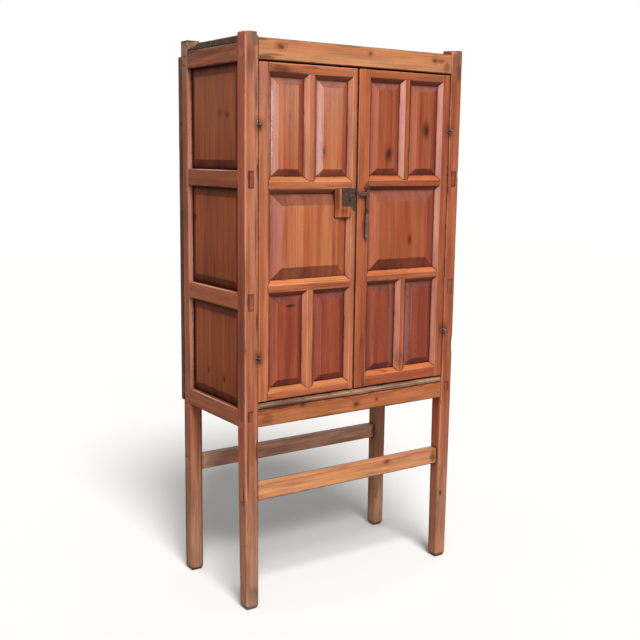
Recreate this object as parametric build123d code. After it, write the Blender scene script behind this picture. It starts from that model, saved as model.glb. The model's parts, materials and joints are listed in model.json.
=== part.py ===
from build123d import *
import math
import os

# A trastero: a tall pine cupboard standing on its own long corner posts, with two framed and
# panelled doors on forged snipe hinges, three raised panels in each side, two shelves and a
# forged lock and hasp.
#
# Frame: +X to the right, +Y to the back, +Z up. The origin is on the floor, in the middle of
# the four posts. All lengths are in millimetres.

# ------------------------------------------------------------------ carcass sizes
HEIGHT = 1880.0             # floor to the top of the front posts
WIDTH = 886.0               # over the outer faces of the posts
DEPTH = 436.0               # over the front and back faces of the posts
POST = 49.0                 # side of a square post
REAR_POST_EXTRA = 5.0       # the rear posts stand this much taller
ARRIS = 2.5                 # radius of the worn post arrises
LEG_TOP = 600.0             # below this height the posts taper to the feet
LEG_TAPER = 3.0             # how much slimmer a leg is at its foot
FOOT_WEAR = 8.0             # how far a foot's edges are worn in
FOOT_WEAR_HEIGHT = 15.0     # and how far up that wear reaches
HORN_WEAR = 2.5             # bevel round the top of a post
BOWED_FOOT = 7.0            # the front left leg bows inwards by this much at its foot
HORN_STEP_WIDTH = 7.0       # strip split off the inner top edge of the front left post
HORN_STEP_DEPTH = 12.0

FRONT_RAIL_THICK = 36.0     # front and rear rails, front to back
HORN = 18.0                 # the posts stand this far above the front and rear top rails
TOP_RAIL_HIGH = 64.0
BOTTOM_RAIL_Z = 630.0       # underside of all four bottom rails
BOTTOM_RAIL_HIGH = 58.0
FRONT_TENON_SET = 13.0      # face of a front or rear rail to its tenon
FRONT_TENON_THICK = 22.0
TOP_TENON_LIFT = 5.0        # underside of a top rail to its tenon
TOP_TENON_HIGH = 28.0
BOTTOM_TENON_HIGH = 22.0    # the front bottom rail's tenon runs below the side rail's

SIDE_RAIL_THICK = 36.0
SIDE_RAIL_HIGH = 56.0
SIDE_HORN = 32.0            # the posts stand this far above the side top rails
SIDE_BOTTOM_BAY = 327.0     # clear height of the bottom panel between its rails
SIDE_MIDDLE_BAY = 332.0     # and of the middle panel; the top panel has the rest
SIDE_TENON_SET = 11.0       # outer face of a side rail to its tenon
SIDE_TENON_THICK = 21.0
SIDE_TENON_TRIM = 1.0       # a tenon is this much lower than its rail, top and bottom
STUB_TENON = 12.0           # the side top rails' tenons stop short of the front rail's

STRETCHER_THICK = 32.0
STRETCHER_SET = 14.0        # face of a leg to the face of its stretcher
FRONT_STRETCHER_Z = 373.0
FRONT_STRETCHER_HIGH = 58.0
REAR_STRETCHER_Z = 378.0
REAR_STRETCHER_HIGH = 54.0
STRETCHER_TENON_THICK = 20.0
STRETCHER_TENON_TRIM = 5.0  # rough shoulders above and below the tenon

# ------------------------------------------------------------------ boards
TOP_BOARD_THICK = 22.0
FLOOR_BOARD_THICK = 24.0
SILL_WEAR_DEEP = 7.0        # worn front edge of the floor
SILL_WEAR_HIGH = 10.0
BACK_BOARD_THICK = 22.0
BACK_BOARD_LIFT = 6.0       # underside of the bottom rails to the back boards' lower ends
BACK_BOARD_HORN = 46.0      # the posts' tops to the back boards' upper ends
BACK_BOARD_COUNT = 4
BACK_BOARD_BEVEL = 8.0      # bevel on the lower ends of the back boards
BOARD_GAP = 2.0             # shrinkage gap between neighbouring boards
BOARD_CLEARANCE = 1.0       # notches and ends of boards clear the posts by this much
SHELF_THICK = 20.0
CLEAT = 25.0                # section of a shelf cleat
SHELF_BACK_GAP = 1.0
BROKEN_CORNER = 75.0        # the top's rear left corner is broken down over this length
BROKEN_CORNER_DROP = 12.0
BROKEN_CORNER_WIDE = 60.0

# ------------------------------------------------------------------ raised panels
TONGUE_THICK = 7.0
TONGUE_LONG = 8.0           # tongue beyond the opening
GROOVE_DEEP = 9.0           # groove leaves the tongue room to move
SMALL_BEVEL_WIDE = 23.0     # bevels round the upper and lower door panels
MIDDLE_BEVEL_WIDE = 38.0
SIDE_BEVEL_WIDE = 32.0
SIDE_PANEL_SET = 19.0       # outer face of the side to the panel's tongue
SIDE_BEVEL_RISE = 8.0
DOOR_PANEL_SET = 14.0       # front face of a door to the panel's tongue
DOOR_BEVEL_RISE = 9.0

# ------------------------------------------------------------------ doors
DOOR_THICK = 32.0
DOOR_FOOT_GAP = 2.5         # door above the floor boards
DOOR_HEAD_GAP = 5.5         # door below the top rail
DOOR_SIDE_GAP = 2.0         # door edge to post
MEETING_X = -10.0           # the doors meet left of the middle
MEETING_GAP = 5.0
CHAMFER_WIDE = 15.0         # chamfers round each opening of a door
CHAMFER_DEEP = 12.0
HINGE_STILE = 50.0          # member widths include their chamfers
LEFT_MEETING_STILE = 34.5
RIGHT_MEETING_STILE = 60.5
MUNTIN = 50.0
DOOR_TENON_THICK = 10.0
DOOR_TENON_SET = 11.0       # front face of a door to its tenons
DOOR_TENON_TRIM = 10.0      # tenon below the edge of its rail
DOOR_TENON_STOP = 8.0       # blind tenons stop this far from the stile's outer edge
STUB = 10.0                 # muntin tenons

# Rails and openings of each door from its foot up, rail heights with their chamfers; the upper
# openings have the rest. The right door was set out with a deeper foot and slimmer rails.
LEFT_BOTTOM_RAIL = 40.5
LEFT_LOWER_OPENING = 301.0
LEFT_LOWER_RAIL = 53.0
LEFT_MIDDLE_OPENING = 277.0
LEFT_UPPER_RAIL = 55.0
LEFT_TOP_RAIL = 43.5
RIGHT_BOTTOM_RAIL = 53.5
RIGHT_LOWER_OPENING = 302.0
RIGHT_LOWER_RAIL = 49.0
RIGHT_MIDDLE_OPENING = 276.0
RIGHT_UPPER_RAIL = 50.0
RIGHT_TOP_RAIL = 39.5
LEFT_DOOR_LEVELS = {"bottom_rail": LEFT_BOTTOM_RAIL, "lower_opening": LEFT_LOWER_OPENING,
                    "lower_rail": LEFT_LOWER_RAIL, "middle_opening": LEFT_MIDDLE_OPENING,
                    "upper_rail": LEFT_UPPER_RAIL, "top_rail": LEFT_TOP_RAIL}
RIGHT_DOOR_LEVELS = {"bottom_rail": RIGHT_BOTTOM_RAIL, "lower_opening": RIGHT_LOWER_OPENING,
                     "lower_rail": RIGHT_LOWER_RAIL, "middle_opening": RIGHT_MIDDLE_OPENING,
                     "upper_rail": RIGHT_UPPER_RAIL, "top_rail": RIGHT_TOP_RAIL}

# ------------------------------------------------------------------ ironwork
EYE_RADIUS = 5.5            # middle of the bar of a hinge eye
EYE_BAR = 3.2              # side of that square bar
EYE_PROUD = 9.5             # the hinge line stands this far in front of the doors
EYE_SHANK = 3.6             # side of the square spike behind an eye
EYE_POINT = 1.2             # side of that spike at its point
LINK_SEAT = 0.3             # linked rings hang this close to what carries them
PULL_SEAT = 0.6             # the drop handle's ring needs a little more, to swing
POST_SHANK_LONG = 42.0
CLINCH_LONG = 17.0          # legs bent over behind a door
CLINCH_WIDE = 7.5
CLINCH_THICK = 1.6
LEFT_UPPER_HINGE_LIFT = 7.0     # middle of a door's upper opening to its upper hinge
RIGHT_UPPER_HINGE_LIFT = 3.0
LEFT_LOWER_HINGE_UP = 147.5     # foot of a door to its lower hinge
RIGHT_LOWER_HINGE_UP = 171.5

LOCK_BLOCK_X = -98.0        # left edge of the wooden lock block
LOCK_BLOCK_HIGH = 95.0
LOCK_PLATE = 57.0           # side of the square lock plate
LOCK_PLATE_THICK = 2.0
LOCK_PLATE_EDGE_X = -13.5   # right edge of the plate
LOCK_TAB_WIDE = 15.0        # tab at the plate's lower right corner
LOCK_TAB_LONG = 15.0
CASE_SET = 5.0              # the lock case is this much smaller than the plate
CASE_RIGHT_X = -26.0
CASE_DEEP = 9.5
CASE_WALL = 1.5
KEYHOLE_X = -40.0
KEYHOLE_DOWN = 32.0         # top of the plate to the middle of the keyhole's round end
KEYHOLE_RADIUS = 2.6
KEYHOLE_WARD_WIDE = 3.2
KEYHOLE_WARD_LONG = 14.0
SLOT_X = -18.0              # slot for the hasp's staple
SLOT_WIDE = 4.5
SLOT_HIGH = 14.0
BOLT_DOWN = 18.0            # top of the plate to the middle of the bolt and of the slot
BOLT_HIGH = 8.0
BOLT_THICK = 6.0
BOLT_SET = 2.5
BOLT_LONG = 34.0
BOLT_PLAY = 0.3
BOLT_TIP_X = -26.4
BOLT_TRAVEL = 10.0
BOLT_STOP_GAP = 1.0         # room left past the thrown bolt
POCKET_PLAY = 1.0           # room above and below the staple in its pocket

HASP_X = 31.0               # middle of the hasp and its staple
HASP_PIVOT_UP = 21.0        # pivot above the bolt and the hasp's arm
HASP_PROUD = 8.0            # pivot lines in front of the door
STAPLE_SPAN = 17.0
STAPLE_BAR = 2.6            # side of its square bar
STAPLE_LEG = 22.0
STAPLE_BEND = 3.5
LINK_RADIUS = 4.6           # rings of the hasp and of the drop handle
LINK_BAR = 2.8
HASP_WIDE = 12.0
HASP_THICK = 4.0
HASP_NECK = 7.0
HASP_ARM_HIGH = 12.0
HASP_ARM_TIP_X = -7.0
HASP_ARM_DRAW = 1.0         # the arm is drawn thinner by this on each edge towards its tip
PULL_X = 27.0               # the drop handle hangs a little left of the staple
PULL_PIVOT_DOWN = 77.0      # hasp's pivot to the drop handle's
PULL_LONG = 94.0            # pivot to the bottom of the knob
PULL_ROD = 2.8              # radius of its rod at the ends
PULL_BELLY = 4.4            # and halfway down
PULL_KNOB = 6.0
PULL_SIDES = 8              # hammered faces round it

# ------------------------------------------------------------------ derived places
OUTER_X = WIDTH / 2
INNER_X = WIDTH / 2 - POST
OUTER_Y = DEPTH / 2
INNER_Y = DEPTH / 2 - POST
FRONT = -DEPTH / 2
FLOOR_Z = BOTTOM_RAIL_Z + BOTTOM_RAIL_HIGH
TOP_Z = HEIGHT - SIDE_HORN
TOP_RAIL_Z = HEIGHT - HORN - TOP_RAIL_HIGH
SIDE_TOP_RAIL_Z = TOP_Z - SIDE_RAIL_HIGH
SIDE_LOWER_RAIL_Z = FLOOR_Z + SIDE_BOTTOM_BAY
SIDE_UPPER_RAIL_Z = SIDE_LOWER_RAIL_Z + SIDE_RAIL_HIGH + SIDE_MIDDLE_BAY
DOOR_BOTTOM = FLOOR_Z + FLOOR_BOARD_THICK + DOOR_FOOT_GAP
DOOR_TOP = TOP_RAIL_Z - DOOR_HEAD_GAP
HINGE_X = INNER_X - DOOR_SIDE_GAP / 2
HINGE_Y = FRONT - EYE_PROUD
LOCK_STILE_FACE_X = MEETING_X - MEETING_GAP / 2 - LEFT_MEETING_STILE + CHAMFER_WIDE


def door_bays(levels):
    """The lower, middle and upper openings of a door, as (bottom, top) heights."""
    lower = DOOR_BOTTOM + levels["bottom_rail"]
    middle = lower + levels["lower_opening"] + levels["lower_rail"]
    upper = middle + levels["middle_opening"] + levels["upper_rail"]
    return [(lower, lower + levels["lower_opening"]), (middle, middle + levels["middle_opening"]),
            (upper, DOOR_TOP - levels["top_rail"])]


LOCK_TOP_Z = door_bays(LEFT_DOOR_LEVELS)[1][1] + CHAMFER_WIDE
BOLT_Z = LOCK_TOP_Z - BOLT_DOWN
HASP_PIVOT_Z = BOLT_Z + HASP_PIVOT_UP
PULL_PIVOT_Z = HASP_PIVOT_Z - PULL_PIVOT_DOWN


# ------------------------------------------------------------------ small helpers
def block(x0, x1, y0, y1, z0, z1):
    """A square-edged block between two corners."""
    middle = Pos((x0 + x1) / 2, (y0 + y1) / 2, (z0 + z1) / 2)
    return middle * Box(x1 - x0, y1 - y0, z1 - z0)


def front_outline(points, y0, y1):
    """A flat shape drawn on the front, as (x, z) points, cut out of a board from y0 to y1."""
    front = Plane(origin=(0, y1, 0), x_dir=(1, 0, 0), z_dir=(0, -1, 0))
    face = make_face(Polyline(*points, close=True))
    return extrude(front * face, amount=y1 - y0)


def mirrored(shape):
    """The same piece for the other side of the cabinet."""
    return mirror(shape, about=Plane.YZ)


def together(*pieces):
    """Separate solids kept in one node."""
    solids = []
    for piece in pieces:
        solids.extend(piece.solids())
    return Compound(solids)


def frustum(place, wide, high, inset, rise):
    """A block on a plane whose four sides lean in by inset over its rise."""
    across = Polyline((-wide / 2, 0), (wide / 2, 0), (wide / 2 - inset, rise), (inset - wide / 2, rise),
                      close=True)
    along = Polyline((-high / 2, 0), (high / 2, 0), (high / 2 - inset, rise), (inset - high / 2, rise),
                     close=True)
    side_plane = Plane(origin=place.origin - place.y_dir * high / 2, x_dir=place.x_dir, z_dir=-place.y_dir)
    end_plane = Plane(origin=place.origin - place.x_dir * wide / 2, x_dir=place.y_dir, z_dir=place.x_dir)
    width_wedge = extrude(side_plane * make_face(across), amount=-high)
    return width_wedge & extrude(end_plane * make_face(along), amount=wide)


def softened(shape, axis, size):
    """A bar with its four long arrises taken off."""
    return chamfer(shape.edges().filter_by(axis), size)


def forged_ring(middle, radius, bar, around):
    """A ring bent from square bar; around is the direction of the ring's own axis."""
    place = Plane(origin=middle - around * bar / 2, z_dir=around)
    ring = place * (Circle(radius + bar / 2) - Circle(radius - bar / 2))
    return extrude(ring, amount=bar)


def hanging_drop(radius, bar, carrier, seat):
    """How far a ring hangs below the middle of the square bar that carries it."""
    reach = radius - bar / 2 - seat
    return math.sqrt(reach ** 2 - (carrier / 2) ** 2) - carrier / 2


EYE_DROP = hanging_drop(EYE_RADIUS, EYE_BAR, EYE_BAR, LINK_SEAT)        # a door's eye in its post's
HASP_DROP = hanging_drop(LINK_RADIUS, LINK_BAR, STAPLE_BAR, LINK_SEAT)  # the hasp's ring on its staple
PULL_DROP = hanging_drop(LINK_RADIUS, LINK_BAR, LINK_BAR, PULL_SEAT)    # the drop handle in the hasp


# ------------------------------------------------------------------ carcass
def post_view(across, height, bow, spread, cut):
    """A post as seen square to one direction: its outline from the worn foot up to the horn."""
    foot = (POST - LEG_TAPER) / 2
    levels = [(0.0, foot - FOOT_WEAR), (FOOT_WEAR_HEIGHT / 4, foot - FOOT_WEAR / 2), (FOOT_WEAR_HEIGHT, foot),
              (LEG_TOP, POST / 2), (height - HORN_WEAR, POST / 2), (height, POST / 2 - HORN_WEAR)]
    left = []
    right = []
    for z, half in levels:
        shift = across.X * bow * max(0.0, 1 - z / LEG_TOP)
        left.append((shift - half * spread + cut, z))
        right.append((shift + half * spread - cut, z))
    view = Plane(origin=(0, 0, 0), x_dir=across, z_dir=across.cross(Vector(0, 0, 1)))
    return extrude(view * make_face(Polyline(*left, *reversed(right), close=True)), amount=POST, both=True)


def post(side, end, height, bow=0.0):
    """One corner post: side is -1 left or 1 right, end is -1 front or 1 back."""
    diagonal = math.sqrt(2)
    shape = post_view(Vector(1, 0, 0), height, bow, 1.0, 0.0)
    shape = shape & post_view(Vector(0, 1, 0), height, bow, 1.0, 0.0)
    for turn in (-1, 1):
        across = Vector(1, turn, 0).normalized()
        shape = shape & post_view(across, height, bow, diagonal, ARRIS / diagonal)
    return Pos(side * (OUTER_X - POST / 2), end * (OUTER_Y - POST / 2), 0) * shape


def cross_rail(face_y, inward, thick, z, high, tenon_z, tenon_high, tenon_set, tenon_thick):
    """A rail along X with a tenon through both posts; inward is 1 at the front, -1 at the back."""
    y_face = sorted((face_y, face_y + inward * thick))
    y_tenon = sorted((face_y + inward * tenon_set, face_y + inward * (tenon_set + tenon_thick)))
    bar = softened(block(-INNER_X, INNER_X, *y_face, z, z + high), Axis.X, ARRIS / 2)
    return bar + block(-OUTER_X, OUTER_X, *y_tenon, tenon_z, tenon_z + tenon_high)


def side_rail(z, high, tenon_z, tenon_high, tenon_reach):
    """A left side rail, flush with the outer faces of its posts."""
    square_bar = block(-OUTER_X, -OUTER_X + SIDE_RAIL_THICK, -INNER_Y, INNER_Y, z, z + high)
    bar = softened(square_bar, Axis.Y, ARRIS / 2)
    tenon_x = -OUTER_X + SIDE_TENON_SET
    reach = INNER_Y + tenon_reach
    return bar + block(tenon_x, tenon_x + SIDE_TENON_THICK, -reach, reach, tenon_z, tenon_z + tenon_high)


def raised_panel(place, wide, high, bevel, rise):
    """A fielded panel: place lies on the tongue's face, with its normal outwards."""
    tongue = Rectangle(wide + 2 * TONGUE_LONG, high + 2 * TONGUE_LONG)
    return extrude(place * tongue, amount=-TONGUE_THICK) + frustum(place, wide, high, bevel, rise)


def side_groove(z0, z1):
    """The groove ploughed round one opening of the left side."""
    x = -OUTER_X + SIDE_PANEL_SET
    reach = INNER_Y + GROOVE_DEEP
    return block(x, x + TONGUE_THICK, -reach, reach, z0 - GROOVE_DEEP, z1 + GROOVE_DEEP)


def side_panel(z0, z1):
    """One raised panel of the left side."""
    place = Plane(origin=(-OUTER_X + SIDE_PANEL_SET, 0, (z0 + z1) / 2), x_dir=(0, -1, 0), z_dir=(-1, 0, 0))
    return raised_panel(place, 2 * INNER_Y, z1 - z0, SIDE_BEVEL_WIDE, SIDE_BEVEL_RISE)


def post_notches(clearance):
    """Room for the four posts in a board that reaches between them."""
    notch_x = (INNER_X - clearance, OUTER_X + POST)
    notch_y = (INNER_Y - clearance, OUTER_Y + POST)
    rear = block(*notch_x, *notch_y, 0, 2 * HEIGHT)
    right = rear + mirror(rear, about=Plane.XZ)
    return right + mirrored(right)


def top_boards():
    """Two boards along the top, resting on the side top rails between the front and rear rails."""
    reach = OUTER_Y - FRONT_RAIL_THICK - BOARD_CLEARANCE
    z1 = TOP_Z + TOP_BOARD_THICK
    front = block(-OUTER_X, OUTER_X, -reach, -BOARD_GAP / 2, TOP_Z, z1) - post_notches(BOARD_CLEARANCE)
    rear = block(-OUTER_X, OUTER_X, BOARD_GAP / 2, reach, TOP_Z, z1) - post_notches(BOARD_CLEARANCE)
    y_break = INNER_Y - BOARD_CLEARANCE - BROKEN_CORNER
    profile = Plane.YZ.offset(-OUTER_X) * make_face(Polyline(
        (y_break, z1), (OUTER_Y, z1), (OUTER_Y, z1 - BROKEN_CORNER_DROP),
        (y_break + BROKEN_CORNER / 2, z1 - BROKEN_CORNER_DROP), close=True))
    broken = extrude(profile, amount=BROKEN_CORNER_WIDE)
    return together(front, rear - broken)


def floor_boards():
    """Two boards of the floor: the front one runs out between the posts as a worn sill."""
    reach = OUTER_X - SIDE_PANEL_SET - TONGUE_THICK - BOARD_CLEARANCE
    z1 = FLOOR_Z + FLOOR_BOARD_THICK
    front = block(-reach, reach, FRONT, -BOARD_GAP / 2, FLOOR_Z, z1) - post_notches(BOARD_CLEARANCE / 2)
    rear = block(-reach, reach, BOARD_GAP / 2, OUTER_Y, FLOOR_Z, z1) - post_notches(BOARD_CLEARANCE / 2)
    worn = Plane.YZ.offset(-OUTER_X) * make_face(Polyline(
        (FRONT - ARRIS, z1 + ARRIS), (FRONT + SILL_WEAR_DEEP, z1 + ARRIS), (FRONT + SILL_WEAR_DEEP, z1),
        (FRONT, z1 - SILL_WEAR_HIGH), (FRONT - ARRIS, z1 - SILL_WEAR_HIGH), close=True))
    return together(front - extrude(worn, amount=WIDTH), rear)


def back_boards():
    """Upright boards nailed over the back of the posts and rear rails."""
    boards = []
    pitch = WIDTH / BACK_BOARD_COUNT
    for number in range(BACK_BOARD_COUNT):
        x0 = -OUTER_X + number * pitch
        gap_left = BOARD_GAP / 2 if number > 0 else 0.0
        gap_right = BOARD_GAP / 2 if number < BACK_BOARD_COUNT - 1 else 0.0
        board = block(x0 + gap_left, x0 + pitch - gap_right, OUTER_Y, OUTER_Y + BACK_BOARD_THICK,
                      BOTTOM_RAIL_Z + BACK_BOARD_LIFT, HEIGHT - BACK_BOARD_HORN)
        lower_edge = board.edges().filter_by(Axis.X).group_by(Axis.Z)[0].sort_by(Axis.Y)[-1]
        boards.append(chamfer(lower_edge, BACK_BOARD_BEVEL))
    return together(*boards)


def shelf(rail_z):
    """Two shelf boards on the cleats at one pair of side rails."""
    z0 = rail_z + CLEAT
    reach = OUTER_X - SIDE_RAIL_THICK - BOARD_CLEARANCE
    y_front = FRONT + DOOR_THICK + BOARD_CLEARANCE
    y_back = OUTER_Y - SHELF_BACK_GAP
    y_middle = (y_front + y_back) / 2
    front = block(-reach, reach, y_front, y_middle - BOARD_GAP / 2, z0, z0 + SHELF_THICK)
    rear = block(-reach, reach, y_middle + BOARD_GAP / 2, y_back, z0, z0 + SHELF_THICK)
    return together(front - post_notches(BOARD_CLEARANCE), rear - post_notches(BOARD_CLEARANCE))


def shelf_cleats():
    """Square cleats nailed inside the middle side rails."""
    cleats = []
    x0 = -OUTER_X + SIDE_RAIL_THICK
    for z in (SIDE_LOWER_RAIL_Z, SIDE_UPPER_RAIL_Z):
        cleat = block(x0, x0 + CLEAT, -INNER_Y, INNER_Y, z, z + CLEAT)
        cleats.append(cleat)
        cleats.append(mirrored(cleat))
    return together(*cleats)


def carcass():
    """Every fixed wooden piece of the cabinet, by node name."""
    nodes = {}
    nodes["front_top_rail"] = cross_rail(FRONT, 1, FRONT_RAIL_THICK, TOP_RAIL_Z, TOP_RAIL_HIGH,
                                         TOP_RAIL_Z + TOP_TENON_LIFT, TOP_TENON_HIGH,
                                         FRONT_TENON_SET, FRONT_TENON_THICK)
    nodes["rear_top_rail"] = cross_rail(OUTER_Y, -1, FRONT_RAIL_THICK, TOP_RAIL_Z, TOP_RAIL_HIGH,
                                        TOP_RAIL_Z + TOP_TENON_LIFT, TOP_TENON_HIGH,
                                        FRONT_TENON_SET, FRONT_TENON_THICK)
    for name, face_y, inward in (("front_bottom_rail", FRONT, 1), ("rear_bottom_rail", OUTER_Y, -1)):
        nodes[name] = cross_rail(face_y, inward, FRONT_RAIL_THICK, BOTTOM_RAIL_Z, BOTTOM_RAIL_HIGH,
                                 BOTTOM_RAIL_Z, BOTTOM_TENON_HIGH, FRONT_TENON_SET, FRONT_TENON_THICK)
    nodes["front_stretcher"] = cross_rail(
        FRONT + STRETCHER_SET, 1, STRETCHER_THICK, FRONT_STRETCHER_Z, FRONT_STRETCHER_HIGH,
        FRONT_STRETCHER_Z + STRETCHER_TENON_TRIM, FRONT_STRETCHER_HIGH - 2 * STRETCHER_TENON_TRIM,
        (STRETCHER_THICK - STRETCHER_TENON_THICK) / 2, STRETCHER_TENON_THICK)
    nodes["rear_stretcher"] = cross_rail(
        INNER_Y + STRETCHER_SET, 1, STRETCHER_THICK, REAR_STRETCHER_Z, REAR_STRETCHER_HIGH,
        REAR_STRETCHER_Z + STRETCHER_TENON_TRIM, REAR_STRETCHER_HIGH - 2 * STRETCHER_TENON_TRIM,
        (STRETCHER_THICK - STRETCHER_TENON_THICK) / 2, STRETCHER_TENON_THICK)

    bottom_tenon_z = BOTTOM_RAIL_Z + BOTTOM_TENON_HIGH + SIDE_TENON_TRIM
    middle_tenon = SIDE_RAIL_HIGH - 2 * SIDE_TENON_TRIM
    rails = {
        "side_top_rail": side_rail(SIDE_TOP_RAIL_Z, SIDE_RAIL_HIGH, SIDE_TOP_RAIL_Z + SIDE_TENON_TRIM,
                                   middle_tenon, STUB_TENON),
        "side_upper_rail": side_rail(SIDE_UPPER_RAIL_Z, SIDE_RAIL_HIGH, SIDE_UPPER_RAIL_Z + SIDE_TENON_TRIM,
                                     middle_tenon, POST),
        "side_lower_rail": side_rail(SIDE_LOWER_RAIL_Z, SIDE_RAIL_HIGH, SIDE_LOWER_RAIL_Z + SIDE_TENON_TRIM,
                                     middle_tenon, POST),
        "side_bottom_rail": side_rail(BOTTOM_RAIL_Z, BOTTOM_RAIL_HIGH, bottom_tenon_z,
                                      FLOOR_Z - SIDE_TENON_TRIM - bottom_tenon_z, POST),
    }
    bays = {
        "side_bottom_panel": (FLOOR_Z, SIDE_LOWER_RAIL_Z),
        "side_middle_panel": (SIDE_LOWER_RAIL_Z + SIDE_RAIL_HIGH, SIDE_UPPER_RAIL_Z),
        "side_top_panel": (SIDE_UPPER_RAIL_Z + SIDE_RAIL_HIGH, SIDE_TOP_RAIL_Z),
    }
    grooves = [side_groove(*bay) for bay in bays.values()]
    left_side = {}
    for name, rail in rails.items():
        for groove in grooves:
            rail = rail - groove
        left_side[name] = rail
    for name, rail in left_side.items():
        nodes["left_" + name] = rail
        nodes["right_" + name] = mirrored(rail)
    for name, bay in bays.items():
        nodes["left_" + name] = side_panel(*bay)
        nodes["right_" + name] = mirrored(nodes["left_" + name])

    cross_members = [nodes[name] for name in ("front_top_rail", "rear_top_rail", "front_bottom_rail",
                                              "rear_bottom_rail", "front_stretcher", "rear_stretcher")]
    posts = {
        "front_left_post": post(-1, -1, HEIGHT, BOWED_FOOT),
        "front_right_post": post(1, -1, HEIGHT),
        "rear_left_post": post(-1, 1, HEIGHT + REAR_POST_EXTRA),
        "rear_right_post": post(1, 1, HEIGHT + REAR_POST_EXTRA),
    }
    step = block(-INNER_X - HORN_STEP_WIDTH, -INNER_X + ARRIS, FRONT - ARRIS, -INNER_Y + ARRIS,
                 HEIGHT - HORN_STEP_DEPTH, HEIGHT + ARRIS)
    posts["front_left_post"] = posts["front_left_post"] - step
    for name, shape in posts.items():
        for member in cross_members:
            shape = shape - member
        for rail in left_side.values():
            shape = shape - (rail if "left" in name else mirrored(rail))
        for groove in grooves:
            shape = shape - (groove if "left" in name else mirrored(groove))
        nodes[name] = shape

    nodes["top_boards"] = top_boards()
    nodes["floor_boards"] = floor_boards()
    nodes["back_boards"] = back_boards()
    nodes["upper_shelf"] = shelf(SIDE_UPPER_RAIL_Z)
    nodes["lower_shelf"] = shelf(SIDE_LOWER_RAIL_Z)
    nodes["shelf_cleats"] = shelf_cleats()
    return nodes


# ------------------------------------------------------------------ doors
def opening_cut(x0, x1, z0, z1):
    """One opening of a door: chamfered mouth, straight hole and the groove for its panel."""
    front = Plane(origin=((x0 + x1) / 2, FRONT, (z0 + z1) / 2), x_dir=(1, 0, 0), z_dir=(0, 1, 0))
    mouth = frustum(front, x1 - x0 + 2 * CHAMFER_WIDE, z1 - z0 + 2 * CHAMFER_WIDE, CHAMFER_WIDE, CHAMFER_DEEP)
    hole = block(x0, x1, FRONT + CHAMFER_DEEP, FRONT + DOOR_THICK, z0, z1)
    groove_y = FRONT + DOOR_PANEL_SET
    groove = block(x0 - GROOVE_DEEP, x1 + GROOVE_DEEP, groove_y, groove_y + TONGUE_THICK,
                   z0 - GROOVE_DEEP, z1 + GROOVE_DEEP)
    return mouth + hole + groove


def stile_outline(edge_x, opening_x, bays):
    """A stile on the front, notched so that the chamfers of its rails meet its own in mitres."""
    inward = 1 if opening_x > edge_x else -1
    face_x = opening_x - inward * CHAMFER_WIDE
    points = [(edge_x, DOOR_BOTTOM), (face_x, DOOR_BOTTOM)]
    for z0, z1 in bays:
        points += [(face_x, z0 - CHAMFER_WIDE), (opening_x, z0), (opening_x, z1), (face_x, z1 + CHAMFER_WIDE)]
    points += [(face_x, DOOR_TOP), (edge_x, DOOR_TOP)]
    return points


def muntin_outline(x0, x1, z0, z1):
    """A muntin on the front, with ends that run out between the chamfers of its two rails."""
    face_x0 = x0 + CHAMFER_WIDE
    face_x1 = x1 - CHAMFER_WIDE
    return [(x0, z0), (face_x0, z0 - CHAMFER_WIDE), (face_x1, z0 - CHAMFER_WIDE), (x1, z0),
            (x1, z1), (face_x1, z1 + CHAMFER_WIDE), (face_x0, z1 + CHAMFER_WIDE), (x0, z1)]


def door_panel(x0, x1, z0, z1, bevel):
    """One raised panel of a door, with bevels of that width."""
    place = Plane(origin=((x0 + x1) / 2, FRONT + DOOR_PANEL_SET, (z0 + z1) / 2),
                  x_dir=(1, 0, 0), z_dir=(0, -1, 0))
    return raised_panel(place, x1 - x0, z1 - z0, bevel, DOOR_BEVEL_RISE)


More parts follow.
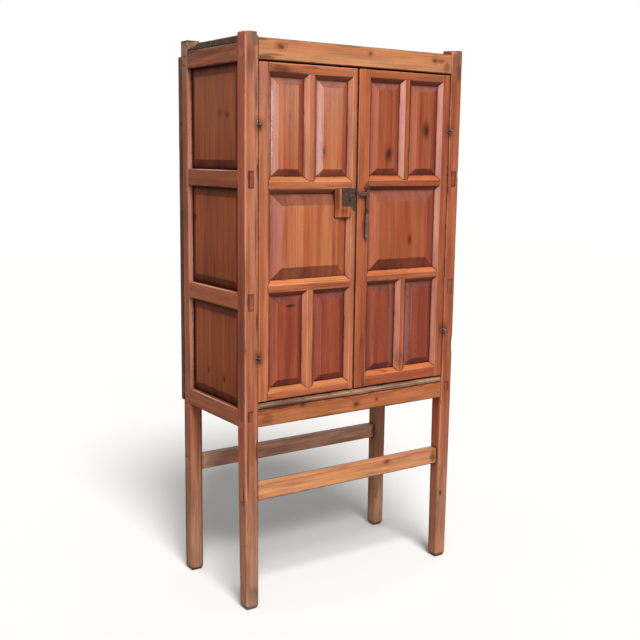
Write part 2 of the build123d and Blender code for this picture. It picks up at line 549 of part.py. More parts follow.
def door(prefix, x0, x1, left_stile, right_stile, levels):
    """The frame and panels of one door, by node name."""
    open_x0 = x0 + left_stile
    open_x1 = x1 - right_stile
    muntin_x0 = (open_x0 + open_x1 - MUNTIN) / 2
    muntin_x1 = muntin_x0 + MUNTIN
    bays = door_bays(levels)
    lower_bay, middle_bay, upper_bay = bays
    panels = {
        "lower_panels": [(open_x0, muntin_x0, *lower_bay), (muntin_x1, open_x1, *lower_bay)],
        "middle_panel": [(open_x0, open_x1, *middle_bay)],
        "upper_panels": [(open_x0, muntin_x0, *upper_bay), (muntin_x1, open_x1, *upper_bay)],
    }
    frame = block(x0, x1, FRONT, FRONT + DOOR_THICK, DOOR_BOTTOM, DOOR_TOP)
    for openings in panels.values():
        for opening in openings:
            frame = frame - opening_cut(*opening)

    thickness = (FRONT, FRONT + DOOR_THICK)
    upright_cuts = {
        "left_stile": front_outline(stile_outline(x0, open_x0, bays), *thickness),
        "right_stile": front_outline(stile_outline(x1, open_x1, bays), *thickness),
        "lower_muntin": front_outline(muntin_outline(muntin_x0, muntin_x1, *lower_bay), *thickness),
        "upper_muntin": front_outline(muntin_outline(muntin_x0, muntin_x1, *upper_bay), *thickness),
    }
    uprights = {}
    rails_only = frame
    for name, cut in upright_cuts.items():
        uprights[name] = frame & cut
        rails_only = rails_only - cut

    tenon_y = (FRONT + DOOR_TENON_SET, FRONT + DOOR_TENON_SET + DOOR_TENON_THICK)
    muntin_middle = (muntin_x0 + muntin_x1) / 2
    for name, (z0, z1) in (("lower_muntin", lower_bay), ("upper_muntin", upper_bay)):
        stub_reach = CHAMFER_WIDE + STUB
        stub = block(muntin_middle - STUB, muntin_middle + STUB, *tenon_y, z0 - stub_reach, z1 + stub_reach)
        hollow = block(muntin_middle - STUB, muntin_middle + STUB, *tenon_y, z0, z1)
        uprights[name] = uprights[name] + (stub - hollow)

    rail_spans = {
        "bottom_rail": (DOOR_BOTTOM, lower_bay[0]),
        "lower_rail": (lower_bay[1], middle_bay[0]),
        "upper_rail": (middle_bay[1], upper_bay[0]),
        "top_rail": (upper_bay[1], DOOR_TOP),
    }
    rails = {}
    for name, (z0, z1) in rail_spans.items():
        room = block(x0, x1, *thickness, z0 - CHAMFER_WIDE / 2, z1 + CHAMFER_WIDE / 2)
        rail = rails_only & room
        tenon_z = (z0 + DOOR_TENON_TRIM, z1 - DOOR_TENON_TRIM)
        tenon = block(x0 + DOOR_TENON_STOP, x1 - DOOR_TENON_STOP, *tenon_y, *tenon_z)
        tenon = tenon - block(open_x0, open_x1, *tenon_y, *tenon_z)
        rail = rail + tenon
        for muntin in ("lower_muntin", "upper_muntin"):
            rail = rail - uprights[muntin]
        rails[name] = rail
    for name in ("left_stile", "right_stile"):
        for rail in rails.values():
            uprights[name] = uprights[name] - rail

    nodes = {}
    nodes[prefix + "_door_muntins"] = together(uprights.pop("lower_muntin"), uprights.pop("upper_muntin"))
    for name, shape in list(uprights.items()) + list(rails.items()):
        nodes[prefix + "_door_" + name] = shape
    for name, openings in panels.items():
        bevel = MIDDLE_BEVEL_WIDE if name == "middle_panel" else SMALL_BEVEL_WIDE
        nodes[prefix + "_door_" + name] = together(*[door_panel(*opening, bevel) for opening in openings])
    return nodes


# ------------------------------------------------------------------ hinges
def eye_direction(side, toward_door):
    """Which way an eye's spike runs from the hinge line: back into the post or into the door."""
    across = -side if toward_door else side
    return Vector(across, 1, 0).normalized()


def post_eye(side, z):
    """A level eye round the hinge line, on a spike driven into the post's inner corner."""
    way = eye_direction(side, toward_door=False)
    line = Vector(side * HINGE_X, HINGE_Y, z)
    ring = forged_ring(line, EYE_RADIUS, EYE_BAR, Vector(0, 0, 1))
    root = Plane(origin=line + way * EYE_RADIUS, x_dir=(0, 0, 1), z_dir=way)
    spike = loft([root * Rectangle(EYE_SHANK, EYE_SHANK),
                  root.offset(POST_SHANK_LONG) * Rectangle(EYE_POINT, EYE_POINT)], ruled=True)
    return ring + spike


def door_eye(side, z):
    """An upright eye linked through the post's, its split spike clinched behind the door."""
    way = eye_direction(side, toward_door=True)
    line = Vector(side * HINGE_X, HINGE_Y, z - EYE_DROP)
    across = way.cross(Vector(0, 0, 1))
    ring = forged_ring(line + way * EYE_RADIUS, EYE_RADIUS, EYE_BAR, across)
    root = Plane(origin=line + way * 2 * EYE_RADIUS, x_dir=(0, 0, 1), z_dir=way)
    through = (EYE_PROUD + DOOR_THICK + CLINCH_THICK / 2) / way.Y - 2 * EYE_RADIUS
    spike = extrude(root * Rectangle(EYE_SHANK, EYE_SHANK), amount=through)
    out = line + way * (2 * EYE_RADIUS + through)
    back = FRONT + DOOR_THICK
    legs = block(out.X - CLINCH_WIDE / 2, out.X + CLINCH_WIDE / 2, back, back + CLINCH_THICK,
                 line.Z - CLINCH_LONG, line.Z + CLINCH_LONG)
    spike = spike & block(out.X - DEPTH, out.X + DEPTH, -DEPTH, back + CLINCH_THICK, 0, HEIGHT)
    return ring + spike + legs


def hinge_hole(side, z):
    """The hole bored through a stile for the spike of its eye."""
    way = eye_direction(side, toward_door=True)
    start = Plane(origin=Vector(side * HINGE_X, HINGE_Y, z - EYE_DROP), x_dir=(0, 0, 1), z_dir=way)
    return extrude(start * Rectangle(EYE_SHANK, EYE_SHANK), amount=3 * DOOR_THICK)


# ------------------------------------------------------------------ lock on the left door
def lock_block():
    """The wooden block let into the stile, rail and panel to carry the lock."""
    return block(LOCK_BLOCK_X, LOCK_STILE_FACE_X, FRONT, FRONT + DOOR_PANEL_SET,
                 LOCK_TOP_Z - LOCK_BLOCK_HIGH, LOCK_TOP_Z)


def lock_case_room():
    """The space that the lock case fills behind its plate."""
    left_x = LOCK_PLATE_EDGE_X - LOCK_PLATE + CASE_SET
    low_z = LOCK_TOP_Z - LOCK_PLATE + CASE_SET
    return (left_x, CASE_RIGHT_X, FRONT, FRONT + CASE_DEEP, low_z, LOCK_TOP_Z - CASE_SET)


def bolt_room(x0, x1, play):
    """The bolt's passage between two places, with some play round it."""
    return block(x0, x1, FRONT + BOLT_SET - play, FRONT + BOLT_SET + BOLT_THICK + play,
                 BOLT_Z - BOLT_HIGH / 2 - play, BOLT_Z + BOLT_HIGH / 2 + play)


def staple_pocket():
    """The pocket behind the plate's slot, where the bolt catches the hasp's staple."""
    return block(CASE_RIGHT_X, BOLT_TIP_X + BOLT_TRAVEL + BOLT_STOP_GAP, FRONT, FRONT + CASE_DEEP,
                 BOLT_Z - SLOT_HIGH / 2 - POCKET_PLAY, BOLT_Z + SLOT_HIGH / 2 + POCKET_PLAY)


def lock_plate():
    """The forged plate with its keyhole and slot, and the rim of the case behind it."""
    x1 = LOCK_PLATE_EDGE_X
    x0 = x1 - LOCK_PLATE
    z1 = LOCK_TOP_Z
    z0 = z1 - LOCK_PLATE
    outline = [(x0, z0), (x1 - LOCK_TAB_WIDE, z0), (x1 - LOCK_TAB_WIDE * 0.8, z0 - LOCK_TAB_LONG),
               (x1, z0 - LOCK_TAB_LONG), (x1, z1), (x0, z1)]
    plate = front_outline(outline, FRONT - LOCK_PLATE_THICK, FRONT)
    case_x0, case_x1, case_y0, case_y1, case_z0, case_z1 = lock_case_room()
    rim = block(case_x0, case_x1, case_y0, case_y1, case_z0, case_z1)
    rim = rim - block(case_x0 + CASE_WALL, case_x1 - CASE_WALL, case_y0, case_y1,
                      case_z0 + CASE_WALL, case_z1 - CASE_WALL)
    lock = plate + rim
    lock = lock - bolt_room(case_x1 - CASE_WALL, case_x1, BOLT_PLAY)
    drill = (FRONT - LOCK_PLATE_THICK, FRONT)
    keyhole_z = LOCK_TOP_Z - KEYHOLE_DOWN
    eye = Plane(origin=(KEYHOLE_X, FRONT, keyhole_z), z_dir=(0, -1, 0)) * Circle(KEYHOLE_RADIUS)
    lock = lock - extrude(eye, amount=LOCK_PLATE_THICK)
    lock = lock - block(KEYHOLE_X - KEYHOLE_WARD_WIDE / 2, KEYHOLE_X + KEYHOLE_WARD_WIDE / 2, *drill,
                        keyhole_z - KEYHOLE_WARD_LONG, keyhole_z)
    lock = lock - block(SLOT_X - SLOT_WIDE / 2, SLOT_X + SLOT_WIDE / 2, *drill,
                        BOLT_Z - SLOT_HIGH / 2, BOLT_Z + SLOT_HIGH / 2)
    return lock


def lock_bolt():
    """The bolt inside the case, its tip resting in the rim's window."""
    return bolt_room(BOLT_TIP_X - BOLT_LONG, BOLT_TIP_X, 0.0)


# ------------------------------------------------------------------ hasp and drop handle
def hasp_staple():
    """The staple driven into the right door; its crown is the hasp's pivot."""
    y = FRONT - HASP_PROUD
    half = STAPLE_SPAN / 2
    path = Plane.XY.offset(HASP_PIVOT_Z) * FilletPolyline(
        (HASP_X - half, FRONT + STAPLE_LEG), (HASP_X - half, y), (HASP_X + half, y),
        (HASP_X + half, FRONT + STAPLE_LEG), radius=STAPLE_BEND)
    start = Plane(origin=(HASP_X - half, FRONT + STAPLE_LEG, HASP_PIVOT_Z), z_dir=(0, -1, 0))
    return sweep(start * Rectangle(STAPLE_BAR, STAPLE_BAR), path=path)


def link_ring(x, z, around):
    """A forged ring on a pivot line; around is the direction of the ring's own axis."""
    return forged_ring(Vector(x, FRONT - HASP_PROUD, z), LINK_RADIUS, LINK_BAR, Vector(around))


def hasp():
    """The hasp: a strap with an arm towards the lock, hung on one ring and carrying another."""
    y = FRONT - HASP_PROUD
    top_ring_z = HASP_PIVOT_Z - HASP_DROP
    top_z = top_ring_z - LINK_RADIUS
    low_z = PULL_PIVOT_Z + LINK_RADIUS
    arm_z0 = BOLT_Z - HASP_ARM_HIGH / 2
    arm_z1 = BOLT_Z + HASP_ARM_HIGH / 2
    left = HASP_X - HASP_WIDE / 2
    right = HASP_X + HASP_WIDE / 2
    waist_z = (arm_z0 + low_z) / 2
    strap = front_outline(
        [(HASP_X + HASP_NECK / 2, top_z), (right, top_z - HASP_WIDE / 2), (right, arm_z0),
         (PULL_X + HASP_NECK * 0.7, waist_z), (PULL_X + HASP_NECK / 2, low_z),
         (PULL_X - HASP_NECK / 2, low_z),
         (PULL_X - HASP_NECK / 2, waist_z), (left, arm_z0),
         (HASP_ARM_TIP_X + HASP_ARM_HIGH / 2, arm_z0 + HASP_ARM_DRAW),
         (HASP_ARM_TIP_X, BOLT_Z - HASP_ARM_HIGH / 4), (HASP_ARM_TIP_X, BOLT_Z + HASP_ARM_HIGH / 4),
         (HASP_ARM_TIP_X + HASP_ARM_HIGH / 2, arm_z1 - HASP_ARM_DRAW),
         (left, arm_z1), (HASP_X - HASP_NECK / 2, top_z)],
        y - HASP_THICK / 2, y + HASP_THICK / 2)
    sideways = (1, 0, 0)
    return strap + link_ring(HASP_X, top_ring_z, sideways) + link_ring(PULL_X, PULL_PIVOT_Z, sideways)


def drop_handle():
    """The forged pull: a ring, a rod hammered to eight faces with a slight belly, and a knob."""
    ring_z = PULL_PIVOT_Z - LINK_RADIUS - PULL_DROP
    rod_top = ring_z - LINK_RADIUS
    bottom = PULL_PIVOT_Z - PULL_LONG
    knob_top = bottom + 2 * PULL_KNOB
    stations = [(bottom, PULL_KNOB * 0.6), (bottom + PULL_KNOB * 0.5, PULL_KNOB),
                (bottom + PULL_KNOB, PULL_KNOB), (knob_top, PULL_ROD),
                ((knob_top + rod_top) / 2, PULL_BELLY), (rod_top, PULL_ROD)]
    axis_place = Pos(PULL_X, FRONT - HASP_PROUD, 0)
    sections = [axis_place * Pos(0, 0, z) * RegularPolygon(radius, PULL_SIDES) for z, radius in stations]
    return link_ring(PULL_X, ring_z, (0, 1, 0)) + loft(sections, ruled=True)


def lock_and_hinges(nodes):
    """Adds the ironwork and lets it into the door members that carry it."""
    left_upper_bay = door_bays(LEFT_DOOR_LEVELS)[2]
    right_upper_bay = door_bays(RIGHT_DOOR_LEVELS)[2]
    left_z = (DOOR_BOTTOM + LEFT_LOWER_HINGE_UP, sum(left_upper_bay) / 2 + LEFT_UPPER_HINGE_LIFT)
    right_z = (DOOR_BOTTOM + RIGHT_LOWER_HINGE_UP, sum(right_upper_bay) / 2 + RIGHT_UPPER_HINGE_LIFT)
    post_eyes = [post_eye(-1, z) for z in left_z] + [post_eye(1, z) for z in right_z]
    nodes["post_hinge_eyes"] = together(*post_eyes)
    nodes["left_door_hinge_eyes"] = together(*[door_eye(-1, z) for z in left_z])
    nodes["right_door_hinge_eyes"] = together(*[door_eye(1, z) for z in right_z])
    for eye in post_eyes[:2]:
        nodes["front_left_post"] = nodes["front_left_post"] - eye
    for eye in post_eyes[2:]:
        nodes["front_right_post"] = nodes["front_right_post"] - eye
    for z in left_z:
        nodes["left_door_left_stile"] = nodes["left_door_left_stile"] - hinge_hole(-1, z)
    for z in right_z:
        nodes["right_door_right_stile"] = nodes["right_door_right_stile"] - hinge_hole(1, z)

    carrier = lock_block()
    case_room = block(*lock_case_room())
    for name in ("left_door_right_stile", "left_door_upper_rail", "left_door_middle_panel"):
        nodes[name] = nodes[name] - carrier - case_room
    nodes["left_door_right_stile"] = nodes["left_door_right_stile"] - staple_pocket()
    nodes["lock_block"] = carrier - case_room
    nodes["lock_plate"] = lock_plate()
    nodes["lock_bolt"] = lock_bolt()

    nodes["hasp_staple"] = hasp_staple()
    for name in ("right_door_left_stile", "right_door_upper_rail"):
        nodes[name] = nodes[name] - nodes["hasp_staple"]
    nodes["hasp"] = hasp()
    nodes["drop_handle"] = drop_handle()


def main():
    nodes = carcass()
    left_x0 = -INNER_X + DOOR_SIDE_GAP
    left_x1 = MEETING_X - MEETING_GAP / 2
    right_x0 = MEETING_X + MEETING_GAP / 2
    right_x1 = INNER_X - DOOR_SIDE_GAP
    nodes.update(door("left", left_x0, left_x1, HINGE_STILE, LEFT_MEETING_STILE, LEFT_DOOR_LEVELS))
    nodes.update(door("right", right_x0, right_x1, RIGHT_MEETING_STILE, HINGE_STILE, RIGHT_DOOR_LEVELS))
    lock_and_hinges(nodes)
    os.makedirs("parts", exist_ok=True)
    for name, shape in nodes.items():
        export_step(shape, "parts/" + name + ".step")
    print(len(nodes), "nodes")


main()
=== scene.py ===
import json
import logging
import math
import random
from dataclasses import dataclass, replace
from enum import Enum

import bmesh
import bpy
from mathutils import Matrix, Vector
from mathutils import noise as field_noise

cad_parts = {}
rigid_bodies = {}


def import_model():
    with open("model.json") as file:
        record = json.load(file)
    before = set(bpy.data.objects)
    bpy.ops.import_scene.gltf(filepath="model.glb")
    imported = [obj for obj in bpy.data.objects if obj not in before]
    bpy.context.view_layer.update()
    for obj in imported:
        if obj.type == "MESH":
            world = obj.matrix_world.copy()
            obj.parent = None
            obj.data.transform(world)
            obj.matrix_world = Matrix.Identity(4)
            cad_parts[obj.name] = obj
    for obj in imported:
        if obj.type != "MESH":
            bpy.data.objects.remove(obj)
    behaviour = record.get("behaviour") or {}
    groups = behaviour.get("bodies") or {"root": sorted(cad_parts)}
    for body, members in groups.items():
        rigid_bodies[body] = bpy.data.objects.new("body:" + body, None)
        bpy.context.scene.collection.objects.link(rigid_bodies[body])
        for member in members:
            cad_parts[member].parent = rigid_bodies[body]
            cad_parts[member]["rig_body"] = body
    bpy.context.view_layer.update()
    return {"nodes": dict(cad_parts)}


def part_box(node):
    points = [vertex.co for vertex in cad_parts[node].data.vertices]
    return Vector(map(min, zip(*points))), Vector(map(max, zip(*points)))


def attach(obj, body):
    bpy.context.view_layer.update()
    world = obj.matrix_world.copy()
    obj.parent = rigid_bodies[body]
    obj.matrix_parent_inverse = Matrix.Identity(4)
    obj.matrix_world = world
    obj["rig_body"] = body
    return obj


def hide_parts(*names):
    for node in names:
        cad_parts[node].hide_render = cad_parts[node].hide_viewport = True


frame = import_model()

log = logging.getLogger("trastero")

Socket = bpy.types.NodeSocket
Number = float | Socket
Triple = tuple[float, float, float]
Tone = tuple[float, float, float, float]    # red, green, blue and 1, linear
Pair = tuple[float, float]
Span = tuple[float, float]                  # the levels between which a smooth step rises or falls
Step = tuple[float, float, float, float]    # the same levels, then the results below and above them


# ---------------------------------------------------------------- named options
class Grain(Enum):
    """Which way a board's grain runs and which way its show face looks, as (along, across, depth) axes."""

    UP_FRONT = (2, 0, 1)
    UP_SIDE = (2, 1, 0)
    ACROSS_FRONT = (0, 2, 1)
    DEEP_SIDE = (1, 2, 0)
    ACROSS_TOP = (0, 1, 2)


@dataclass(frozen=True)
class Colour:
    """A colour as a painter would mix it: sRGB, 0 to 255."""

    red: float
    green: float
    blue: float

    def linear(self) -> tuple[float, float, float, float]:
        """The colour in the linear light that shaders use, by the sRGB curve."""
        values = []
        for value in (self.red, self.green, self.blue):
            share = value / 255.0
            values.append(share / 12.92 if share <= 0.04045 else ((share + 0.055) / 1.055) ** 2.4)
        return (values[0], values[1], values[2], 1.0)


@dataclass(frozen=True)
class Figure:
    """A noise in a material: its waves to the metre along three axes, its finer layers and their strength."""

    waves: Triple
    layers: float = 2.0
    roughness: float = 0.5


# A timber's figures, their waves along, across and into the board.
RIPPLE = Figure((3.0, 40.0, 40.0))
WANDER = Figure((0.9, 5.0, 5.0), 1.5)
KNOT_EDGE = Figure((110.0, 160.0, 160.0), 3.0, 0.65)
FIBRE = Figure((6.0, 600.0, 600.0), 3.0, 0.65)
STREAK = Figure((0.5, 24.0, 24.0), 3.0, 0.6)
LINE = Figure((0.9, 120.0, 120.0), 2.0, 0.6)
PATCH = Figure((1.6, 13.0, 13.0), 4.0, 0.62)
BLOTCH = Figure((5.0, 42.0, 42.0), 3.0, 0.6)
SPECK = Figure((150.0, 420.0, 420.0), 3.0, 0.7)
HAIR = Figure((0.8, 30.0, 30.0), 1.5)
# Those of dirt, flaked places and iron, their waves along X, Y and Z.
CRUMB = Figure((260.0, 260.0, 260.0), 3.0, 0.7)
FLAKE = Figure((240.0, 240.0, 130.0), 3.0, 0.7)
SCALE = Figure((160.0, 160.0, 160.0), 4.0, 0.6)
PIT = Figure((650.0, 650.0, 650.0), 3.0, 0.6)

NOISE_SPAN: Span = (0.3, 0.7)       # what most of a noise lies between
MIDDLE_NOISE = 0.5


# ---------------------------------------------------------------- shader bench
class Shader:
    """One material under construction, with short methods for the nodes that the finishes share."""

    def __init__(self, name: str) -> None:
        """Starts a material that holds only its surface shader.

        Args:
            name: the material's name.
        """
        self.material = bpy.data.materials.new(name)
        self.material.use_nodes = True
        self.tree = self.material.node_tree
        self.tree.nodes.clear()
        output = self.tree.nodes.new("ShaderNodeOutputMaterial")
        self.surface = self.tree.nodes.new("ShaderNodeBsdfPrincipled")
        self.tree.links.new(self.surface.outputs[0], output.inputs[0])

    def feed(self, socket: Socket, value: object) -> None:
        """Links a socket to another, or sets its value.

        Args:
            socket: the input to feed.
            value: a socket, or a plain value.
        """
        if isinstance(value, bpy.types.NodeSocket):
            self.tree.links.new(value, socket)
        else:
            socket.default_value = value

    def maths(self, operation: str, first: Number, second: Number = 0.0, clamp: bool = False) -> Socket:
        """A number worked out from one or two others.

        Args:
            operation: the maths node's operation.
            first: its first number.
            second: its second number.
            clamp: whether the result is held between 0 and 1.

        Returns:
            The result's socket.
        """
        node = self.tree.nodes.new("ShaderNodeMath")
        node.operation = operation
        node.use_clamp = clamp
        self.feed(node.inputs[0], first)
        self.feed(node.inputs[1], second)
        return node.outputs[0]

    def times(self, first: Number, second: Number) -> Socket:
        """Two numbers multiplied."""
        return self.maths("MULTIPLY", first, second)

    def plus(self, first: Number, second: Number) -> Socket:
        """Two numbers added."""
        return self.maths("ADD", first, second)

    def less(self, first: Number, second: Number) -> Socket:
        """The first number less the second."""
        return self.maths("SUBTRACT", first, second)

    def vector(self, operation: str, first: object, second: object = (0.0, 0.0, 0.0)) -> Socket:
        """A vector worked out from two others, or its length for LENGTH.

        Args:
            operation: the vector maths node's operation.
            first: its first vector.
            second: its second vector.

        Returns:
            The result's socket.
        """
        node = self.tree.nodes.new("ShaderNodeVectorMath")
        node.operation = operation
        self.feed(node.inputs[0], first)
        self.feed(node.inputs[1], second)
        return node.outputs["Value"] if operation == "LENGTH" else node.outputs[0]

    def reach(self, place: Socket, middle: Triple, size: Triple) -> Socket:
        """How far a place is from a middle, counted in half sizes."""
        return self.vector("LENGTH", self.vector("DIVIDE", self.vector("SUBTRACT", place, middle), size))

    def place(self) -> Socket:
        """A point's place in the cupboard's own frame, in metres."""
        return self.tree.nodes.new("ShaderNodeTexCoord").outputs["Object"]

    def split(self, vector: Socket) -> list[Socket]:
        """The three numbers of a vector."""
        node = self.tree.nodes.new("ShaderNodeSeparateXYZ")
        self.feed(node.inputs[0], vector)
        return list(node.outputs)

    def join(self, first: Number, second: Number, third: Number) -> Socket:
        """A vector made of three numbers."""
        node = self.tree.nodes.new("ShaderNodeCombineXYZ")
        for socket, value in zip(node.inputs, (first, second, third)):
            self.feed(socket, value)
        return node.outputs[0]

    def cloud(self, vector: Socket, figure: Figure, output: str = "Fac") -> Socket:
        """Smooth noise in a material's figure.

        Args:
            vector: where the noise is read.
            figure: its waves and layers.
            output: Fac for a number about 0.5, Color for three such numbers.

        Returns:
            The noise's socket.
        """
        node = self.tree.nodes.new("ShaderNodeTexNoise")
        self.feed(node.inputs["Vector"], self.vector("MULTIPLY", vector, figure.waves))
        node.inputs["Scale"].default_value = 1.0
        node.inputs["Detail"].default_value = figure.layers
        node.inputs["Roughness"].default_value = figure.roughness
        return node.outputs[output]

    def ramp(self, value: Number, low: float, high: float, bottom: float = 0.0, top: float = 1.0) -> Socket:
        """A smooth step of a value from one level to another.

        Args:
            value: the number that is read.
            low: where the step starts.
            high: where it ends.
            bottom: the result below the step.
            top: the result above it.

        Returns:
            The stepped number's socket.
        """
        node = self.tree.nodes.new("ShaderNodeMapRange")
        node.interpolation_type = "SMOOTHSTEP"
        self.feed(node.inputs["Value"], value)
        node.inputs["From Min"].default_value = low
        node.inputs["From Max"].default_value = high
        node.inputs["To Min"].default_value = bottom
        node.inputs["To Max"].default_value = top
        return node.outputs[0]

    def blend(self, share: Number, first: object, second: object, way: str = "MIX") -> Socket:
        """Two colours put together.

        Args:
            share: how much of the second colour there is, 0 to 1.
            first: the first colour.
            second: the second colour.
            way: the mix node's blend type.

        Returns:
            The mixed colour's socket.
        """
        node = self.tree.nodes.new("ShaderNodeMix")
        node.data_type = "RGBA"
        node.blend_type = way
        node.clamp_factor = True
        self.feed(node.inputs[0], share)
        self.feed(node.inputs[6], first)
        self.feed(node.inputs[7], second)
        return node.outputs[2]

    def crevice(self, reach: float) -> Socket:
        """How open a point is: 1 on an open face, lower in a corner.

        Args:
            reach: how far it looks for other surfaces, in metres.

        Returns:
            The openness's socket.
        """
        node = self.tree.nodes.new("ShaderNodeAmbientOcclusion")
        node.samples = 6
        node.inputs["Distance"].default_value = reach
        return node.outputs["AO"]

    def mark(self, name: str) -> Socket:
        """A number kept on the mesh's points under a name."""
        node = self.tree.nodes.new("ShaderNodeAttribute")
        node.attribute_name = name
        return node.outputs["Fac"]

    def relief(self, height: Socket, depth: float, strength: float = 1.0) -> None:
        """Gives the surface fine relief.

        Args:
            height: the relief's height, as a share of its depth.
            depth: how deep the relief is, in metres.
            strength: how much of it shows.
        """
        node = self.tree.nodes.new("ShaderNodeBump")
        node.inputs["Distance"].default_value = depth
        node.inputs["Strength"].default_value = strength
        self.feed(node.inputs["Height"], height)
        normal = self.surface.inputs["Normal"]
        if normal.is_linked:
            self.feed(node.inputs["Normal"], normal.links[0].from_socket)
        self.feed(normal, node.outputs[0])

    def apply(self, piece: bpy.types.Object) -> None:
        """Gives the piece this material alone."""
        piece.data.materials.clear()
        piece.data.materials.append(self.material)


# ---------------------------------------------------------------- marks on the timbers
@dataclass(frozen=True)
class Knot:
    """A knot: its middle in the frame and its half width across and along the grain, in metres."""

    middle: Triple
    across: float = 0.006
    along: float = 0.009


@dataclass(frozen=True)
class Stain:
    """A dark patch: its middle in the frame, its half sizes in metres and how dark it is, 0 to 1."""

    middle: Triple
    size: Triple
    depth: float = 0.7


@dataclass(frozen=True)
class Fade:
    """A change of tone up a piece: a colour that is full at one height and gone at another, in metres."""

    colour: Colour
    full: float
    gone: float
    share: float


@dataclass(frozen=True)
class Scuff:
    """A pale place: middle in the frame, half sizes in metres, colour, share and how flaked it is, 0 to 1."""

    middle: Triple
    size: Triple
    colour: Colour = Colour(232, 192, 176)
    share: float = 0.8
    flake: float = 0.8


@dataclass(frozen=True)
class Tenon:
    """The end of a through tenon: its middle, half width and half height in metres, colour and outline."""

    middle: Triple
    half_wide: float
    half_high: float
    colour: Colour
    outline: float


@dataclass(frozen=True, kw_only=True)
class Marks:
    """What a timber carries on its faces."""

    knots: tuple[Knot, ...] = ()
    stains: tuple[Stain, ...] = ()
    fades: tuple[Fade, ...] = ()
    scuffs: tuple[Scuff, ...] = ()
    tenons: tuple[Tenon, ...] = ()


STAIN_REACH = 0.02      # how deep a stain on a front face goes


def stains_on(y: float, *rows: tuple[float, float, float, float, float]) -> tuple[Stain, ...]:
    """Dark patches on a face that looks forwards.

    Args:
        y: the face's place, front to back.
        rows: for each patch its X, its Z, its half width, its half height and how dark it is.

    Returns:
        The patches.
    """
    return tuple(Stain((x, y, z), (wide, STAIN_REACH, high), depth) for x, z, wide, high, depth in rows)


def knots_on(y: float, *rows: tuple[float, float, float, float]) -> tuple[Knot, ...]:
    """Knots on a face that looks forwards, each row with X, Z, and half widths across and along the grain."""
    return tuple(Knot((x, y, z), across, along) for x, z, across, along in rows)


# ---------------------------------------------------------------- finishes
@dataclass(frozen=True)
class FacetLight:
    """Painted light and shade on the sloping faces: a colour for each way they lean, and how much of it
    shows.

    near leans to the left or to the front, far to the right or to the back, top upwards and foot downwards.
    These colours are painted light and shade, by the way a face leans: the pale ones are painted sheen and
    highlights, the dark ones painted shade.
    flank is painted shade on the upright sides, deeper and redder.
    """

    near: Colour
    far: Colour
    top: Colour
    foot: Colour
    share: float = 0.6
    flank: Colour | None = None

    lean: Span = (0.07, 0.18)               # faces count as sloping from here on
    steep: Span = (0.8, 0.95)               # and as upright from here on
    # the near faces' painted light and shade thin out lower down
    near_heights: Step = (0.9, 1.5, 0.45, 1.0)
    upright: Step = (0.92, 0.98, 0.0, 0.72)
    flank_heights: Step = (0.35, 0.65, 0.35, 1.0)
    least: float = 0.65                     # of the share, where the tones are thinnest

    def age(self, shader: Shader, colour: Socket, grain: Grain, patch: Socket) -> Socket:
        """Paints light and shade on the sloping faces: pale painted sheen and highlights, dark painted shade.

        Args:
            shader: the timber's shader.
            colour: its colour so far.
            grain: how its grain runs.
            patch: a slow noise that keeps the tones uneven.

        Returns:
            The toned colour.
        """
        facing = shader.split(shader.tree.nodes.new("ShaderNodeTexCoord").outputs["Normal"])
        side = facing[1] if grain in (Grain.UP_SIDE, Grain.DEEP_SIDE) else facing[0]
        uneven = shader.ramp(patch, *NOISE_SPAN, self.least * self.share, self.share)
        height = shader.split(shader.place())[2]
        lower = shader.ramp(height, *self.near_heights)
        for value, sign, tone, reach in ((side, -1.0, self.near, lower), (side, 1.0, self.far, 1.0),
                                         (facing[2], 1.0, self.top, 1.0), (facing[2], -1.0, self.foot, 1.0)):
            lean = shader.times(value, sign)
            share = shader.times(shader.ramp(lean, *self.lean), shader.ramp(lean, *self.steep, 1.0, 0.0))
            share = shader.times(share, reach)
            colour = shader.blend(shader.times(share, uneven), colour, tone.linear())
        # painted shade on the upright sides, stronger higher up
        if self.flank is not None:
            upright = shader.ramp(shader.maths("ABSOLUTE", side), *self.upright)
            share = shader.times(upright, shader.ramp(height, *self.flank_heights))
            colour = shader.blend(share, colour, self.flank.linear())
        return colour


